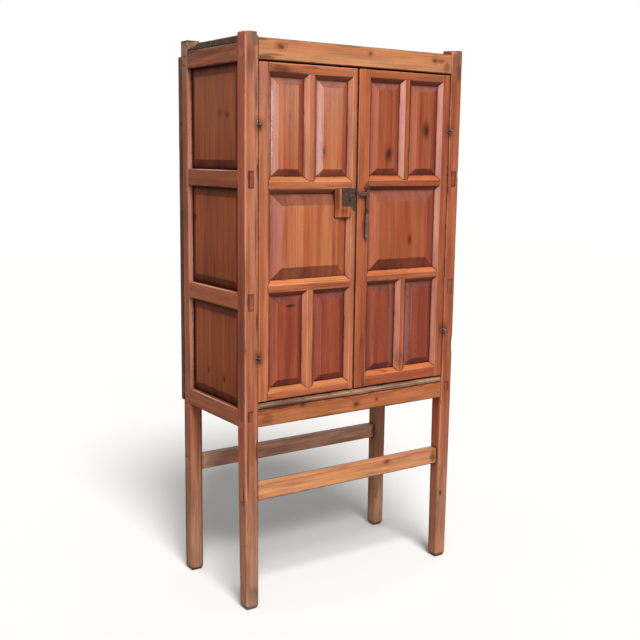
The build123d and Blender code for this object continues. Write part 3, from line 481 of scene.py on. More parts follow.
@dataclass(frozen=True)
class Log:
    """The tree that a timber was cut from: how far its heart lies from the timber, and how it wanders."""

    spread: float = 9.0                     # timbers come from places in the log this far apart, in metres
    across: Span = (-0.06, 0.06)
    slope: Span = (-0.03, 0.03)
    depth: Span = (0.03, 0.1)
    wander_across: float = 0.04
    wander_depth: float = 0.05
    knot_ragged: float = 1.6                # how ragged a knot's edge is
    knot_bend: Step = (0.0, 4.5, 0.02, 0.0)     # how far the rings bend round a knot
    knot_heart: Step = (0.6, 1.5, 1.0, 0.0)
    knot_halo: Step = (0.9, 3.4, 1.0, 0.0)
    knot_depth: float = 4.0                 # a knot's reach into the board, in half widths

    def rings(self, shader: Shader, chance: random.Random, place: Socket, timber: Socket,
              axes: tuple[Socket, Socket, Socket], grain: Grain,
              knots: tuple[Knot, ...]) -> tuple[Socket, Socket | None, Socket | None]:
        """The distance from the tree's wandering heart, bent round the knots.

        Args:
            shader: the timber's shader.
            chance: its own source of chance.
            place: a point's place in the frame.
            timber: its place in the tree.
            axes: its places along, across and into the board.
            grain: how the grain runs.
            knots: the knots that show.

        Returns:
            The distance, and how much of a knot's heart and of its halo a point has, or None for no knots.
        """
        along, across, depth = axes
        wander = shader.split(shader.cloud(timber, WANDER, "Color"))
        off_across = shader.plus(across, chance.uniform(*self.across))
        off_across = shader.plus(off_across, shader.times(along, chance.uniform(*self.slope)))
        off_across = shader.plus(off_across, shader.times(wander[0], self.wander_across))
        off_depth = shader.plus(depth, chance.uniform(*self.depth))
        off_depth = shader.plus(off_depth, shader.times(wander[1], self.wander_depth))
        radius = shader.vector("LENGTH", shader.join(off_across, off_depth, 0.0))
        if not knots:
            return radius, None, None
        core: Number = 0.0
        halo: Number = 0.0
        ragged = shader.less(shader.cloud(timber, KNOT_EDGE), MIDDLE_NOISE)
        for knot in knots:
            size = [knot.across * self.knot_depth] * 3
            size[grain.value[0]] = knot.along
            size[grain.value[1]] = knot.across
            near = shader.reach(place, knot.middle, tuple(size))
            near = shader.plus(near, shader.times(ragged, self.knot_ragged))
            radius = shader.plus(radius, shader.ramp(near, *self.knot_bend))
            core = shader.maths("MAXIMUM", core, shader.ramp(near, *self.knot_heart))
            halo = shader.maths("MAXIMUM", halo, shader.ramp(near, *self.knot_halo))
        return radius, core, halo


@dataclass(frozen=True)
class PineFinish:
    """Old waxed pine: its colours, its year rings, how dirty, worn and glossy it is, and the light and shade
    painted on it.
    """

    early: Colour
    late: Colour
    warm: Colour
    dirt: Colour
    bare: Colour
    ring: float = 0.011
    contrast: float = 0.4
    dirt_share: float = 0.3
    gloss: float = 0.42
    wax: float = 0.12
    shine: float = 0.3
    mottle: float = 0.14
    crack_share: float = 0.6
    rub_share: float = 0.75
    specks: float = 0.3
    # painted light and shade on the sloping faces
    facets: FacetLight | None = None

    heart: Log = Log()
    ripple_share: float = 0.9
    late_power: float = 2.2                 # how slowly the late wood sets in
    late_edge: Step = (0.86, 1.0, 1.0, 0.1)
    late_patches: Step = (*NOISE_SPAN, 0.3, 1.0)
    warm_streaks: Step = (0.42, 0.62, 0.0, 0.65)
    knot_shares: tuple[float, float] = (0.6, 0.75)      # of its halo and of its heart
    fade_patches: Step = (0.3, 0.6, 0.55, 1.0)
    fibres: Step = (0.38, 0.72, 0.0, 0.22)
    lines: Step = (0.48, 0.7, 0.0, 0.2)
    speck_span: Span = (0.54, 0.72)
    speck_patches: Step = (0.35, 0.65, 0.35, 1.0)
    tones: Span = (0.95, 1.05)              # how one timber differs from the next
    corner: float = 0.018                   # how far the painted shade in the corners reaches, in metres
    corner_shade: Step = (0.35, 0.95, 1.0, 0.0)
    dirt_span: Span = (0.55, 0.78)
    stain_edge: Span = (0.75, 1.55)
    stain_ragged: float = 0.9
    dirt_and_shade_shares: tuple[float, float] = (0.75, 0.5)     # of the dirt and the painted corner shade: rubbed in, and laid on
    rub_patches: Step = (0.34, 0.6, 0.1, 1.0)
    crack_wide: Step = (0.0, 0.012, 1.0, 0.0)
    crack_span: Span = (0.5, 0.6)
    gloss_spread: Span = (-0.06, 0.1)
    dirt_and_shade_dullness: float = 0.25
    wax_roughness: float = 0.3
    heights: Triple = (0.3, 0.5, 2.0)       # of late wood, of fibre, and of cracks downwards
    grain_relief: float = 0.0005
    swell_relief: float = 0.0008
    swell_strength: float = 0.5

    def dress(self, piece: bpy.types.Object, grain: Grain, marks: Marks) -> None:
        """Gives a timber its own cut of this pine.

        Args:
            piece: the timber's object, its mesh in the frame's place.
            grain: how its grain runs.
            marks: what shows on it.
        """
        chance = random.Random(piece.name)
        shader = Shader(piece.name + "_pine")
        corners = [Vector(corner) for corner in piece.bound_box]
        middle = sum(corners, Vector()) / len(corners)
        place = shader.place()
        local = shader.split(shader.vector("SUBTRACT", place, tuple(middle)))
        axes = tuple(local[axis] for axis in grain.value)
        spread = self.heart.spread
        cut = tuple(chance.uniform(-spread, spread) for _ in range(3))
        timber = shader.vector("ADD", shader.join(*axes), cut)
        radius, core, halo = self.heart.rings(shader, chance, place, timber, axes, grain, marks.knots)
        fibre, patch, blotch = (shader.cloud(timber, figure) for figure in (FIBRE, PATCH, BLOTCH))
        phase = shader.plus(shader.maths("DIVIDE", radius, self.ring),
                            shader.times(shader.cloud(timber, RIPPLE), self.ripple_share))
        year = shader.maths("FRACT", phase)
        late = shader.times(shader.maths("POWER", year, self.late_power), shader.ramp(year, *self.late_edge))

        share = shader.times(shader.times(late, self.contrast), shader.ramp(patch, *self.late_patches))
        colour = shader.blend(share, self.early.linear(), self.late.linear())
        streaks = shader.ramp(shader.cloud(timber, STREAK), *self.warm_streaks)
        colour = shader.blend(streaks, colour, self.warm.linear())
        if core is not None:
            colour = shader.blend(shader.times(halo, self.knot_shares[0]), colour, self.late.linear())
            colour = shader.blend(shader.times(core, self.knot_shares[1]), colour, self.dirt.linear())
        colour = self.fade(shader, colour, place, patch, marks.fades)
        # painted sheen, highlights and shade on the sloping faces
        if self.facets is not None:
            colour = self.facets.age(shader, colour, grain, patch)
        darker = shader.blend(1.0, colour, self.late.linear(), "MULTIPLY")
        colour = shader.blend(shader.ramp(fibre, *self.fibres), colour, darker)
        colour = shader.blend(shader.ramp(shader.cloud(timber, LINE), *self.lines), colour, darker)
        specks = shader.times(shader.ramp(shader.cloud(timber, SPECK), *self.speck_span, 0.0, self.specks),
                              shader.ramp(patch, *self.speck_patches))
        colour = shader.blend(specks, colour, self.dirt.linear())
        tone = chance.uniform(*self.tones)
        shade = shader.ramp(blotch, *NOISE_SPAN, (1.0 - self.mottle) * tone, (1.0 + self.mottle) * tone)
        colour = shader.blend(1.0, colour, shader.join(shade, shade, shade), "MULTIPLY")

        # dirt and stains, with painted shade in the corners
        dirt_and_shade = self.dirt_and_shade(shader, place, patch, blotch, marks.stains)
        rubbed_in, laid_on = self.dirt_and_shade_shares
        colour = shader.blend(dirt_and_shade, colour, shader.blend(rubbed_in, colour, self.dirt.linear(), "MULTIPLY"))
        colour = shader.blend(shader.times(dirt_and_shade, laid_on), colour, self.dirt.linear())
        colour = self.mark_tenons(shader, colour, place, marks.tenons)
        colour = self.mark_scuffs(shader, colour, place, marks.scuffs)

        rub = shader.times(shader.mark("wear"), shader.ramp(blotch, *self.rub_patches))
        rub = shader.times(rub, shader.maths("SUBTRACT", 1.0, dirt_and_shade, True))
        colour = shader.blend(shader.times(rub, self.rub_share), colour, self.bare.linear())
        hair = shader.less(shader.cloud(timber, HAIR), MIDDLE_NOISE)
        crack = shader.ramp(shader.maths("ABSOLUTE", hair), *self.crack_wide)
        crack = shader.times(crack, shader.ramp(patch, *self.crack_span, 0.0, self.crack_share))
        colour = shader.blend(crack, colour, self.dirt.linear())
        shader.feed(shader.surface.inputs["Base Color"], colour)
        self.polish(shader, blotch, dirt_and_shade)
        late_high, fibre_high, crack_deep = self.heights
        height = shader.plus(shader.times(late, late_high), shader.times(fibre, fibre_high))
        shader.relief(shader.less(height, shader.times(crack, crack_deep)), self.grain_relief)
        shader.relief(blotch, self.swell_relief, self.swell_strength)
        shader.apply(piece)

    def dirt_and_shade(self, shader: Shader, place: Socket, patch: Socket, blotch: Socket,
              stains: tuple[Stain, ...]) -> Socket:
        """How much dirt and painted shade there is: painted shade in the corners, dirt in slow patches, and
        the stains.

        Args:
            shader: the timber's shader.
            place: a point's place in the frame.
            patch: a slow noise, dirty where it is high.
            blotch: a quicker noise, which makes the stains' edges ragged.
            stains: the dark patches.

        Returns:
            The share of dirt and painted shade, 0 to 1.
        """
        # painted shade in the corners, darker where a point is less open
        dirt_and_shade = shader.ramp(shader.crevice(self.corner), *self.corner_shade)
        dirt_and_shade = shader.maths("MAXIMUM", dirt_and_shade, shader.ramp(patch, *self.dirt_span, 0.0, self.dirt_share))
        for stain in stains:
            ragged = shader.times(blotch, self.stain_ragged)
            near = shader.plus(shader.reach(place, stain.middle, stain.size), ragged)
            dirt_and_shade = shader.maths("MAXIMUM", dirt_and_shade, shader.ramp(near, *self.stain_edge, stain.depth, 0.0))
        return dirt_and_shade

    def polish(self, shader: Shader, blotch: Socket, dirt_and_shade: Socket) -> None:
        """Sets how the wood and its wax shine.

        Args:
            shader: the timber's shader.
            blotch: a noise that keeps the gloss uneven.
            dirt_and_shade: how much dirt and painted corner shade there is, which dulls it.
        """
        glossy = shader.ramp(blotch, *NOISE_SPAN, *(self.gloss + extra for extra in self.gloss_spread))
        dull = shader.times(dirt_and_shade, self.dirt_and_shade_dullness)
        shader.feed(shader.surface.inputs["Roughness"], shader.plus(glossy, dull))
        shader.surface.inputs["Specular IOR Level"].default_value = self.shine
        shader.surface.inputs["Coat Weight"].default_value = self.wax
        shader.surface.inputs["Coat Roughness"].default_value = self.wax_roughness

    def fade(self, shader: Shader, colour: Socket, place: Socket, patch: Socket,
             fades: tuple[Fade, ...]) -> Socket:
        """Changes the tone up the piece.

        Args:
            shader: the timber's shader.
            colour: its colour so far.
            place: a point's place in the frame.
            patch: a slow noise that keeps the change uneven.
            fades: the changes.

        Returns:
            The faded colour.
        """
        for fade in fades:
            ends = (fade.share, 0.0) if fade.full < fade.gone else (0.0, fade.share)
            share = shader.ramp(shader.split(place)[2], *sorted((fade.full, fade.gone)), *ends)
            share = shader.times(share, shader.ramp(patch, *self.fade_patches))
            colour = shader.blend(share, colour, fade.colour.linear())
        return colour

    def mark_tenons(self, shader: Shader, colour: Socket, place: Socket, tenons: tuple[Tenon, ...]) -> Socket:
        """Draws the dirt round the tenons' ends, and tones their end grain.

        Args:
            shader: the timber's shader.
            colour: its colour so far.
            place: a point's place in the frame.
            tenons: the ends that show.

        Returns:
            The marked colour.
        """
        crumbled, fill_share = 1.1, 0.65
        face_reach: Step = (0.002, 0.005, 1.0, 0.0)
        outline_span: Span = (0.66, 0.92)
        for tenon in tenons:
            gap = shader.split(shader.vector("SUBTRACT", place, tenon.middle))
            wide, deep, high = (shader.maths("ABSOLUTE", value) for value in gap)
            edge = shader.maths("MAXIMUM", shader.maths("DIVIDE", wide, tenon.half_wide),
                                shader.maths("DIVIDE", high, tenon.half_high))
            crumbs = shader.less(shader.cloud(place, CRUMB), MIDDLE_NOISE)
            edge = shader.plus(edge, shader.times(crumbs, crumbled))
            near = shader.ramp(deep, *face_reach)
            outline = shader.times(near, shader.ramp(edge, *outline_span, 0.0, tenon.outline))
            colour = shader.blend(shader.times(near, fill_share), colour, tenon.colour.linear())
            colour = shader.blend(outline, colour, self.dirt.linear())
        return colour

    def mark_scuffs(self, shader: Shader, colour: Socket, place: Socket, scuffs: tuple[Scuff, ...]) -> Socket:
        """Lays pale rubbed and flaked places over the colour.

        Args:
            shader: the timber's shader.
            colour: its colour so far.
            place: a point's place in the frame.
            scuffs: the places.

        Returns:
            The scuffed colour.
        """
        flaking, edge = 5.0, (0.5, 1.2)
        for scuff in scuffs:
            flakes = shader.less(shader.cloud(place, FLAKE), MIDDLE_NOISE)
            flakes = shader.times(flakes, flaking * scuff.flake)
            near = shader.plus(shader.reach(place, scuff.middle, scuff.size), flakes)
            colour = shader.blend(shader.ramp(near, *edge, scuff.share, 0.0), colour, scuff.colour.linear())
        return colour


@dataclass(frozen=True)
class IronFinish:
    """Hand-forged iron: dark scale, rubbed brighter where hands and doors touch it."""

    scale: Colour = Colour(62, 52, 47)
    rust: Colour = Colour(92, 66, 52)
    bright: Colour = Colour(176, 164, 152)
    pit_share: float = 0.35

    rust_span: Span = (0.4, 0.7)
    pit_span: Span = (0.58, 0.8)
    rub_patches: Step = (0.35, 0.6, 0.2, 0.8)
    roughness: Span = (0.36, 0.6)
    metal: float = 0.6
    pit_relief: float = 0.0004
    hammer_relief: float = 0.0012
    hammer_strength: float = 0.6

    def dress(self, piece: bpy.types.Object) -> None:
        """Gives a forging its finish.

        Args:
            piece: the forging's object.
        """
        shader = Shader(piece.name + "_iron")
        place = shader.place()
        blotch = shader.cloud(place, SCALE)
        pits = shader.cloud(place, PIT)
        colour = shader.blend(shader.ramp(blotch, *self.rust_span), self.scale.linear(), self.rust.linear())
        pitted = shader.ramp(pits, *self.pit_span, 0.0, self.pit_share)
        colour = shader.blend(pitted, colour, self.bright.linear())
        rub = shader.times(shader.mark("wear"), shader.ramp(blotch, *self.rub_patches))
        shader.feed(shader.surface.inputs["Base Color"], shader.blend(rub, colour, self.bright.linear()))
        shader.surface.inputs["Metallic"].default_value = self.metal
        shader.feed(shader.surface.inputs["Roughness"], shader.ramp(blotch, *NOISE_SPAN, *self.roughness))
        shader.relief(pits, self.pit_relief)
        shader.relief(blotch, self.hammer_relief, self.hammer_strength)
        shader.apply(piece)


def facet_light_tones(near: Triple, far: Triple, top: Triple, foot: Triple, share: float,
                flank: Colour | None = None) -> FacetLight:
    """The painted light and shade of the sloping faces, from four plain colours."""
    return FacetLight(*(Colour(*colour) for colour in (near, far, top, foot)), share, flank)


def pine(early: Triple, late: Triple, warm: Triple, dirt: Triple, bare: Triple, **ways: object) -> PineFinish:
    """A pine finish from its five colours and the ways in which it differs from the usual one."""
    return PineFinish(*(Colour(*colour) for colour in (early, late, warm, dirt, bare)), **ways)


# Painted light and shade on the sloping faces, by the way they lean: pale painted sheen and highlights, dark
# painted shade; the first set also paints shade on the posts' upright sides.
POST_FACET_LIGHT = facet_light_tones((197, 128, 97), (124, 58, 35), (213, 147, 108), (87, 41, 29), 0.4,
                          flank=Colour(188, 82, 38))
FRAME_FACET_LIGHT = facet_light_tones((213, 147, 120), (130, 48, 29), (219, 135, 77), (108, 29, 23), 0.75)
SHADED_FRAME_FACET_LIGHT = facet_light_tones((236, 176, 164), (112, 39, 27), (207, 116, 66), (95, 25, 21), 0.85)
BROAD_BEVEL_LIGHT = facet_light_tones((194, 128, 122), (164, 68, 41), (124, 75, 62), (101, 37, 31), 0.85)
PALE_BEVEL_LIGHT = facet_light_tones((219, 164, 153), (164, 68, 41), (139, 89, 77), (110, 41, 35), 0.85)
MIDDLE_BEVEL_LIGHT = facet_light_tones((201, 118, 91), (151, 60, 39), (145, 91, 77), (91, 27, 21), 0.85)
SHADED_BEVEL_LIGHT = facet_light_tones((172, 99, 85), (116, 46, 35), (112, 68, 58), (91, 31, 25), 0.8)
SIDE_BEVEL_LIGHT = facet_light_tones((112, 56, 39), (91, 46, 35), (97, 60, 50), (75, 31, 23), 0.75)
POST_PINE = pine((208, 138, 106), (136, 70, 48), (178, 98, 66), (66, 36, 28), (228, 172, 138), shine=0.12,
                 wax=0.03, mottle=0.2, crack_share=0.3, facets=POST_FACET_LIGHT)
RED_POST_PINE = pine((190, 114, 80), (118, 50, 30), (160, 78, 48), (62, 32, 24), (224, 160, 122),
                     shine=0.12, wax=0.03, mottle=0.22, crack_share=0.3, facets=POST_FACET_LIGHT)
SIDE_POST_PINE = pine((190, 114, 80), (122, 58, 38), (164, 84, 56), (60, 34, 26), (212, 152, 118),
                      shine=0.05, wax=0.0, mottle=0.2, crack_share=0.4)
MOTTLED_PINE = pine((196, 126, 94), (122, 68, 48), (166, 96, 68), (52, 32, 26), (206, 150, 120), shine=0.05,
                    wax=0.0, dirt_share=0.7, mottle=0.3, specks=0.5)
# painted light: a pale pine for the rear stretcher, which lies in the carcass's shadow
PAINTED_LIGHT_PINE = pine((238, 180, 152), (180, 122, 100), (222, 156, 128), (86, 54, 42), (232, 190, 160), shine=0.1,
                wax=0.0, mottle=0.26, specks=0.5)
GOLD_PINE = pine((224, 160, 112), (144, 84, 54), (200, 124, 82), (74, 46, 34), (232, 186, 142), shine=0.12,
                 wax=0.03, mottle=0.24, dirt_share=0.5, specks=0.45, facets=POST_FACET_LIGHT)
FRAME_PINE = pine((202, 124, 84), (142, 60, 34), (182, 92, 56), (66, 26, 18), (226, 156, 116), shine=0.14,
                  wax=0.05, mottle=0.16, facets=FRAME_FACET_LIGHT)
# painted shade: a darker copy of the frame pine, for the right door
SHADED_FRAME_PINE = pine((184, 104, 66), (124, 48, 28), (160, 72, 44), (58, 24, 16), (208, 138, 102),
                       shine=0.14, wax=0.05, mottle=0.18, facets=SHADED_FRAME_FACET_LIGHT)
HEAD_PINE = pine((220, 156, 110), (160, 88, 50), (206, 126, 76), (96, 50, 38), (230, 176, 134), shine=0.2,
                 wax=0.08, mottle=0.18)
FOOT_PINE = pine((198, 122, 76), (130, 60, 34), (172, 86, 48), (70, 34, 25), (228, 164, 118), shine=0.16,
                 wax=0.05, mottle=0.22, dirt_share=0.5, specks=0.5)
PANEL_PINE = pine((206, 128, 84), (144, 62, 36), (178, 84, 52), (66, 26, 20), (218, 144, 104),
                  contrast=0.22, gloss=0.38, shine=0.14, wax=0.05, mottle=0.1, crack_share=0.15,
                  facets=PALE_BEVEL_LIGHT)
BROAD_PANEL_PINE = replace(PANEL_PINE, facets=BROAD_BEVEL_LIGHT)
BLOCK_PINE = pine((196, 112, 70), (112, 46, 30), (156, 74, 48), (60, 24, 18), (222, 150, 108), shine=0.12,
                  wax=0.04, mottle=0.22, rub_share=0.3)
# painted shade: darker copies of the panel pine, for the panels lower down and on the right door
HALF_SHADED_PANEL_PINE = pine((180, 98, 62), (118, 44, 26), (150, 64, 42), (56, 22, 17), (200, 122, 88),
                         contrast=0.22, gloss=0.38, shine=0.14, wax=0.05, mottle=0.12, crack_share=0.15,
                         facets=MIDDLE_BEVEL_LIGHT)
SHADED_PANEL_PINE = pine((162, 78, 52), (104, 36, 26), (134, 54, 40), (50, 20, 15), (186, 106, 78),
                       contrast=0.22, gloss=0.38, shine=0.14, wax=0.05, mottle=0.14, crack_share=0.15,
                       facets=SHADED_BEVEL_LIGHT)
SIDE_PINE = pine((184, 104, 66), (130, 60, 38), (160, 78, 48), (54, 26, 18), (200, 132, 94), contrast=0.16,
                 shine=0.02, wax=0.0, mottle=0.14, crack_share=0.2, facets=SIDE_BEVEL_LIGHT)
DARK_PINE = pine((118, 92, 76), (70, 52, 42), (98, 70, 56), (44, 34, 29), (146, 118, 98), gloss=0.7,
                 shine=0.1, wax=0.0, mottle=0.25)
SILL_PINE = pine((172, 132, 108), (104, 70, 54), (146, 102, 80), (56, 38, 31), (206, 168, 142), gloss=0.65,
                 shine=0.1, wax=0.0, contrast=0.2, dirt_share=0.7, mottle=0.5, specks=0.85)
IRON = IronFinish()
HASP_IRON = IronFinish(scale=Colour(78, 56, 48), rust=Colour(118, 80, 66), bright=Colour(170, 140, 124),
                       pit_share=0.25)
PLATE_IRON = IronFinish(scale=Colour(56, 42, 38), rust=Colour(96, 70, 58), pit_share=0.3)
# hinge eyes: near-white rubbed edges and pits, partly rubbed metal and partly a painted highlight
EYE_IRON_WITH_GLINT = IronFinish(scale=Colour(50, 40, 37), rust=Colour(74, 56, 48), bright=Colour(226, 216, 204),
                      pit_share=0.5)


# ---------------------------------------------------------------- worn timber and forged iron
@dataclass(frozen=True)
class Chip:
    """A bite out of an arris: its middle, its half sizes along X, Y and Z and its depth, in metres."""

    middle: Triple
    size: Triple
    depth: float


@dataclass(frozen=True)
class Wear:
    """How time has shaped a piece, in metres: its arris, its crisp ends, its slices and its waviness.

    splay is how much broader the hammer has made a forging, from one height down to another.
    """

    arris: float = 0.0032
    end_share: float = 0.25
    step: float = 0.010
    across_step: float = 0.016
    wave: float = 0.0004
    rub: float = 0.0007
    nick: float = 0.0016
    least_turn: float = 13.0
    least_edge: float = 0.012
    splay: float = 1.0
    splay_from: float = 1.318
    splay_full: float = 1.306


TIMBER_WEAR = Wear()
POST_WEAR = Wear(arris=0.0024, nick=0.0024)
PANEL_WEAR = Wear(arris=0.0022, rub=0.0003, nick=0.0006, least_turn=12.0)
SPLIT_WEAR = Wear(arris=0.0045, end_share=0.8, rub=0.0018, nick=0.0045, wave=0.0008)
IRON_WEAR = Wear(arris=0.0007, end_share=1.0, step=0.004, across_step=0.004, wave=0.0003, rub=0.0,
                 nick=0.0, least_turn=20.0, least_edge=0.0008)
HANDLE_WEAR = replace(IRON_WEAR, splay=2.5)
PLATE_WEAR = replace(IRON_WEAR, arris=0.0003)


class Workpiece:
    """A piece of the cupboard shaped from its solid: worn arrises, hand-planed faces, chips."""

    SEAM = 2e-6             # points of the solid closer than this are one, in metres
    FINE_SEAM = 1e-6        # and after rounding
    FLAT_TURN = 0.6         # faces that turn less than this are one, in degrees
    LENGTHWISE = 0.85       # how straight along the piece a long arris runs, as a cosine
    BLUNT_TURN = 40.0       # a blunter edge than this, in degrees, wears less
    BLUNT_SHARE = 0.6
    STRIPS = 3
    ROUNDNESS = 0.62
    QUICK_COARSE = 3.0
    JITTER = 0.5            # how unevenly the slices lie, as a share of their step
    END_MARGIN = 0.2
    SLICE_SNAP = 5e-5
    SHARP_TURN = 38.0       # edges sharper than this stay crisp, in degrees
    WAVES_ACROSS = 40.0     # unevenness: waves to the metre across the piece and along it
    WAVES_ALONG = 9.0
    RUB_WAVES = 28.0        # along the arrises
    NICK_WAVES = 85.0
    NICK_LEVEL = 0.18
    NICK_GAIN = 1.6
    CHIP_WAVES = 160.0
    CHIP_ROUGH = 0.35

    def __init__(self, node: str, along: int, wear: Wear, chips: tuple[Chip, ...] = ()) -> None:
        """Shapes the piece and seats it where its solid is.

        Args:
            node: the solid's name.
            along: the axis of its length, 0, 1 or 2.
            wear: how it has worn.
            chips: the bites out of it.
        """
        self.node = node
        self.along = along
        self.wear = wear
        self.chips = chips
        self.chance = random.Random("wear of " + node)
        self.drift = Vector([self.chance.uniform(-50.0, 50.0) for _ in range(3)])
        source = frame["nodes"][node]
        self.low, self.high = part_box(node)
        self.piece = bpy.data.objects.new(node + "_worn", self.round_arrises(source))
        bpy.context.scene.collection.objects.link(self.piece)
        self.slice_and_wear()
        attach(self.piece, source["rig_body"])
        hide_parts(node)
        slot_of(node)

    def round_arrises(self, source: bpy.types.Object) -> bpy.types.Mesh:
        """Cleans the solid's mesh and rounds its outer edges.

        Args:
            source: the solid's object.

        Returns:
            A new mesh, its rounded strips with the second material.
        """
        work = bmesh.new()
        work.from_mesh(source.data)
        bmesh.ops.remove_doubles(work, verts=work.verts, dist=self.SEAM)
        bmesh.ops.dissolve_limit(work, angle_limit=math.radians(self.FLAT_TURN), verts=work.verts,
                                 edges=work.edges)
        weight = work.edges.layers.float.new("bevel_weight_edge")
        for edge in work.edges:
            edge[weight] = self.rounding(edge)
        for face in work.faces:
            face.material_index = 0
        mesh = bpy.data.meshes.new(self.node + "_rounded")
        work.to_mesh(mesh)
        work.free()
        for name in ("flat", "strip"):
            mesh.materials.append(bpy.data.materials.new(name))
        holder = bpy.data.objects.new(self.node + "_holder", mesh)
        bpy.context.scene.collection.objects.link(holder)
        bevel = holder.modifiers.new("arrises", "BEVEL")
        bevel.width = self.wear.arris
        bevel.segments = self.STRIPS
        bevel.profile = self.ROUNDNESS
        bevel.limit_method = "WEIGHT"
        bevel.use_clamp_overlap = False
        bevel.material = 1
        bevel.miter_outer = "MITER_SHARP"
        bpy.context.view_layer.update()
        seen = holder.evaluated_get(bpy.context.evaluated_depsgraph_get())
        rounded = bpy.data.meshes.new_from_object(seen)
        bpy.data.objects.remove(holder)
        return rounded

    def rounding(self, edge: bmesh.types.BMEdge) -> float:
        """How much of the arris's width an edge gets, 0 to 1."""
        if len(edge.link_faces) != 2 or not edge.is_convex:
            return 0.0
        run = edge.verts[1].co - edge.verts[0].co
        turn = math.degrees(edge.calc_face_angle(0.0))
        if turn < self.wear.least_turn or run.length < self.wear.least_edge:
            return 0.0
        share = 1.0 if abs(run.normalized()[self.along]) > self.LENGTHWISE else self.wear.end_share
        return share * self.BLUNT_SHARE if turn < self.BLUNT_TURN else share

    def slice_and_wear(self) -> None:
        """Slices the mesh across and along its length, then moves its points as use and age have."""
        work = bmesh.new()
        work.from_mesh(self.piece.data)
        bmesh.ops.remove_doubles(work, verts=work.verts, dist=self.FINE_SEAM)
        mark = work.verts.layers.float.new("wear")
        for point in work.verts:
            point[mark] = float(all(face.material_index == 1 for face in point.link_faces))
        for axis in range(3):
            self.slice(work, axis)
        work.normal_update()
        for point in work.verts:
            place = point.co + self.shift(point.co, point.normal, point[mark])
            place.x = self.splayed(place)
            point.co = [min(max(place[axis], self.low[axis]), self.high[axis]) for axis in range(3)]
        for face in work.faces:
            face.smooth = True
            face.material_index = 0
        for edge in work.edges:
            edge.smooth = edge.calc_face_angle(0.0) < math.radians(self.SHARP_TURN)
        work.to_mesh(self.piece.data)
        work.free()
        weighted = self.piece.modifiers.new("flat_faces", "WEIGHTED_NORMAL")
        weighted.keep_sharp = True

    def slice(self, work: bmesh.types.BMesh, axis: int) -> None:
        """Cuts the mesh into uneven slices along one axis.

        Args:
            work: the mesh.
            axis: 0, 1 or 2.
        """
        step = self.wear.step if axis == self.along else self.wear.across_step
        step *= 1.0
        normal = Vector((0.0, 0.0, 0.0))
        normal[axis] = 1.0
        for number in range(1, int((self.high[axis] - self.low[axis]) / step) + 1):
            level = self.low.copy()
            level[axis] += number * step + (self.chance.random() - 0.5) * step * self.JITTER
            if level[axis] <= self.high[axis] - step * self.END_MARGIN:
                bmesh.ops.bisect_plane(work, geom=work.verts[:] + work.edges[:] + work.faces[:],
                                       plane_co=level, plane_no=normal, dist=self.SLICE_SNAP)

    def splayed(self, place: Vector) -> float:
        """Where the hammer has spread a point to, from side to side, inside the solid's own width.

        Args:
            place: the point.

        Returns:
            Its new X.
        """
        wear = self.wear
        if wear.splay == 1.0:
            return place.x
        middle = (self.low.x + self.high.x) / 2.0
        half = (self.high.x - self.low.x) / 2.0
        depth = min(max((wear.splay_from - place.z) / (wear.splay_from - wear.splay_full), 0.0), 1.0)
        share = min(abs(place.x - middle) / half, 1.0)
        reach = half * (1.0 - (1.0 - share) ** (1.0 + (wear.splay - 1.0) * depth))
        return middle + math.copysign(reach, place.x - middle)

    def unevenness(self, place: Vector, waves_along: float) -> float:
        """A smooth noise about 0 at a point, with its own number of waves along the piece."""
        stretch = Vector((self.WAVES_ACROSS, self.WAVES_ACROSS, self.WAVES_ACROSS))
        stretch[self.along] = waves_along
        return field_noise.noise((place + self.drift) * stretch)

    def shift(self, place: Vector, normal: Vector, mark: float) -> Vector:
        """How far a point has worn away, always inwards.

        Args:
            place: the point.
            normal: the way its face looks.
            mark: 1 on an arris, 0 on a face.

        Returns:
            The move, in metres.
        """
        wear = self.wear
        depth = wear.wave * (0.5 + 0.5 * self.unevenness(place, self.WAVES_ALONG))
        if mark > 0.0:
            depth += mark * wear.rub * (1.0 + self.unevenness(place, self.RUB_WAVES)) * 0.5
            nick = self.unevenness(place, self.NICK_WAVES)
            depth += mark * wear.nick * max(0.0, nick - self.NICK_LEVEL) * self.NICK_GAIN
        flat = 1.0 - abs(normal[self.along]) ** 3
        move = normal * (-depth * flat)
        for chip in self.chips:
            gap = Vector([(place[axis] - chip.middle[axis]) / chip.size[axis] for axis in range(3)])
            rough = field_noise.noise((place + self.drift) * self.CHIP_WAVES)
            reach = gap.length + self.CHIP_ROUGH * rough
            if reach < 1.0:
                move -= normal * chip.depth * (1.0 - reach * reach)
        return move


def slot_of(node: str) -> str:
    """The record's material slot of a solid."""
    return frame["nodes"][node].data.materials[0].name.split(".")[0]


@dataclass(frozen=True)
class Timber(Marks):
    """One timber: its solid, how its grain runs, its finish and the marks that it carries."""

    node: str
    grain: Grain
    finish: PineFinish
    wear: Wear = TIMBER_WEAR
    chips: tuple[Chip, ...] = ()

    def build(self) -> bpy.types.Object:
        """Shapes and dresses the timber.

        Returns:
            Its object.
        """
        piece = Workpiece(self.node, self.grain.value[0], self.wear, self.chips).piece
        self.finish.dress(piece, self.grain, self)
        log.info("built %s", piece.name)
        return piece


# ---------------------------------------------------------------- sub-assemblies
HINGE_STAINS = (((0.011, 0.02, 0.017), 0.95), ((0.026, 0.02, 0.034), 0.38))


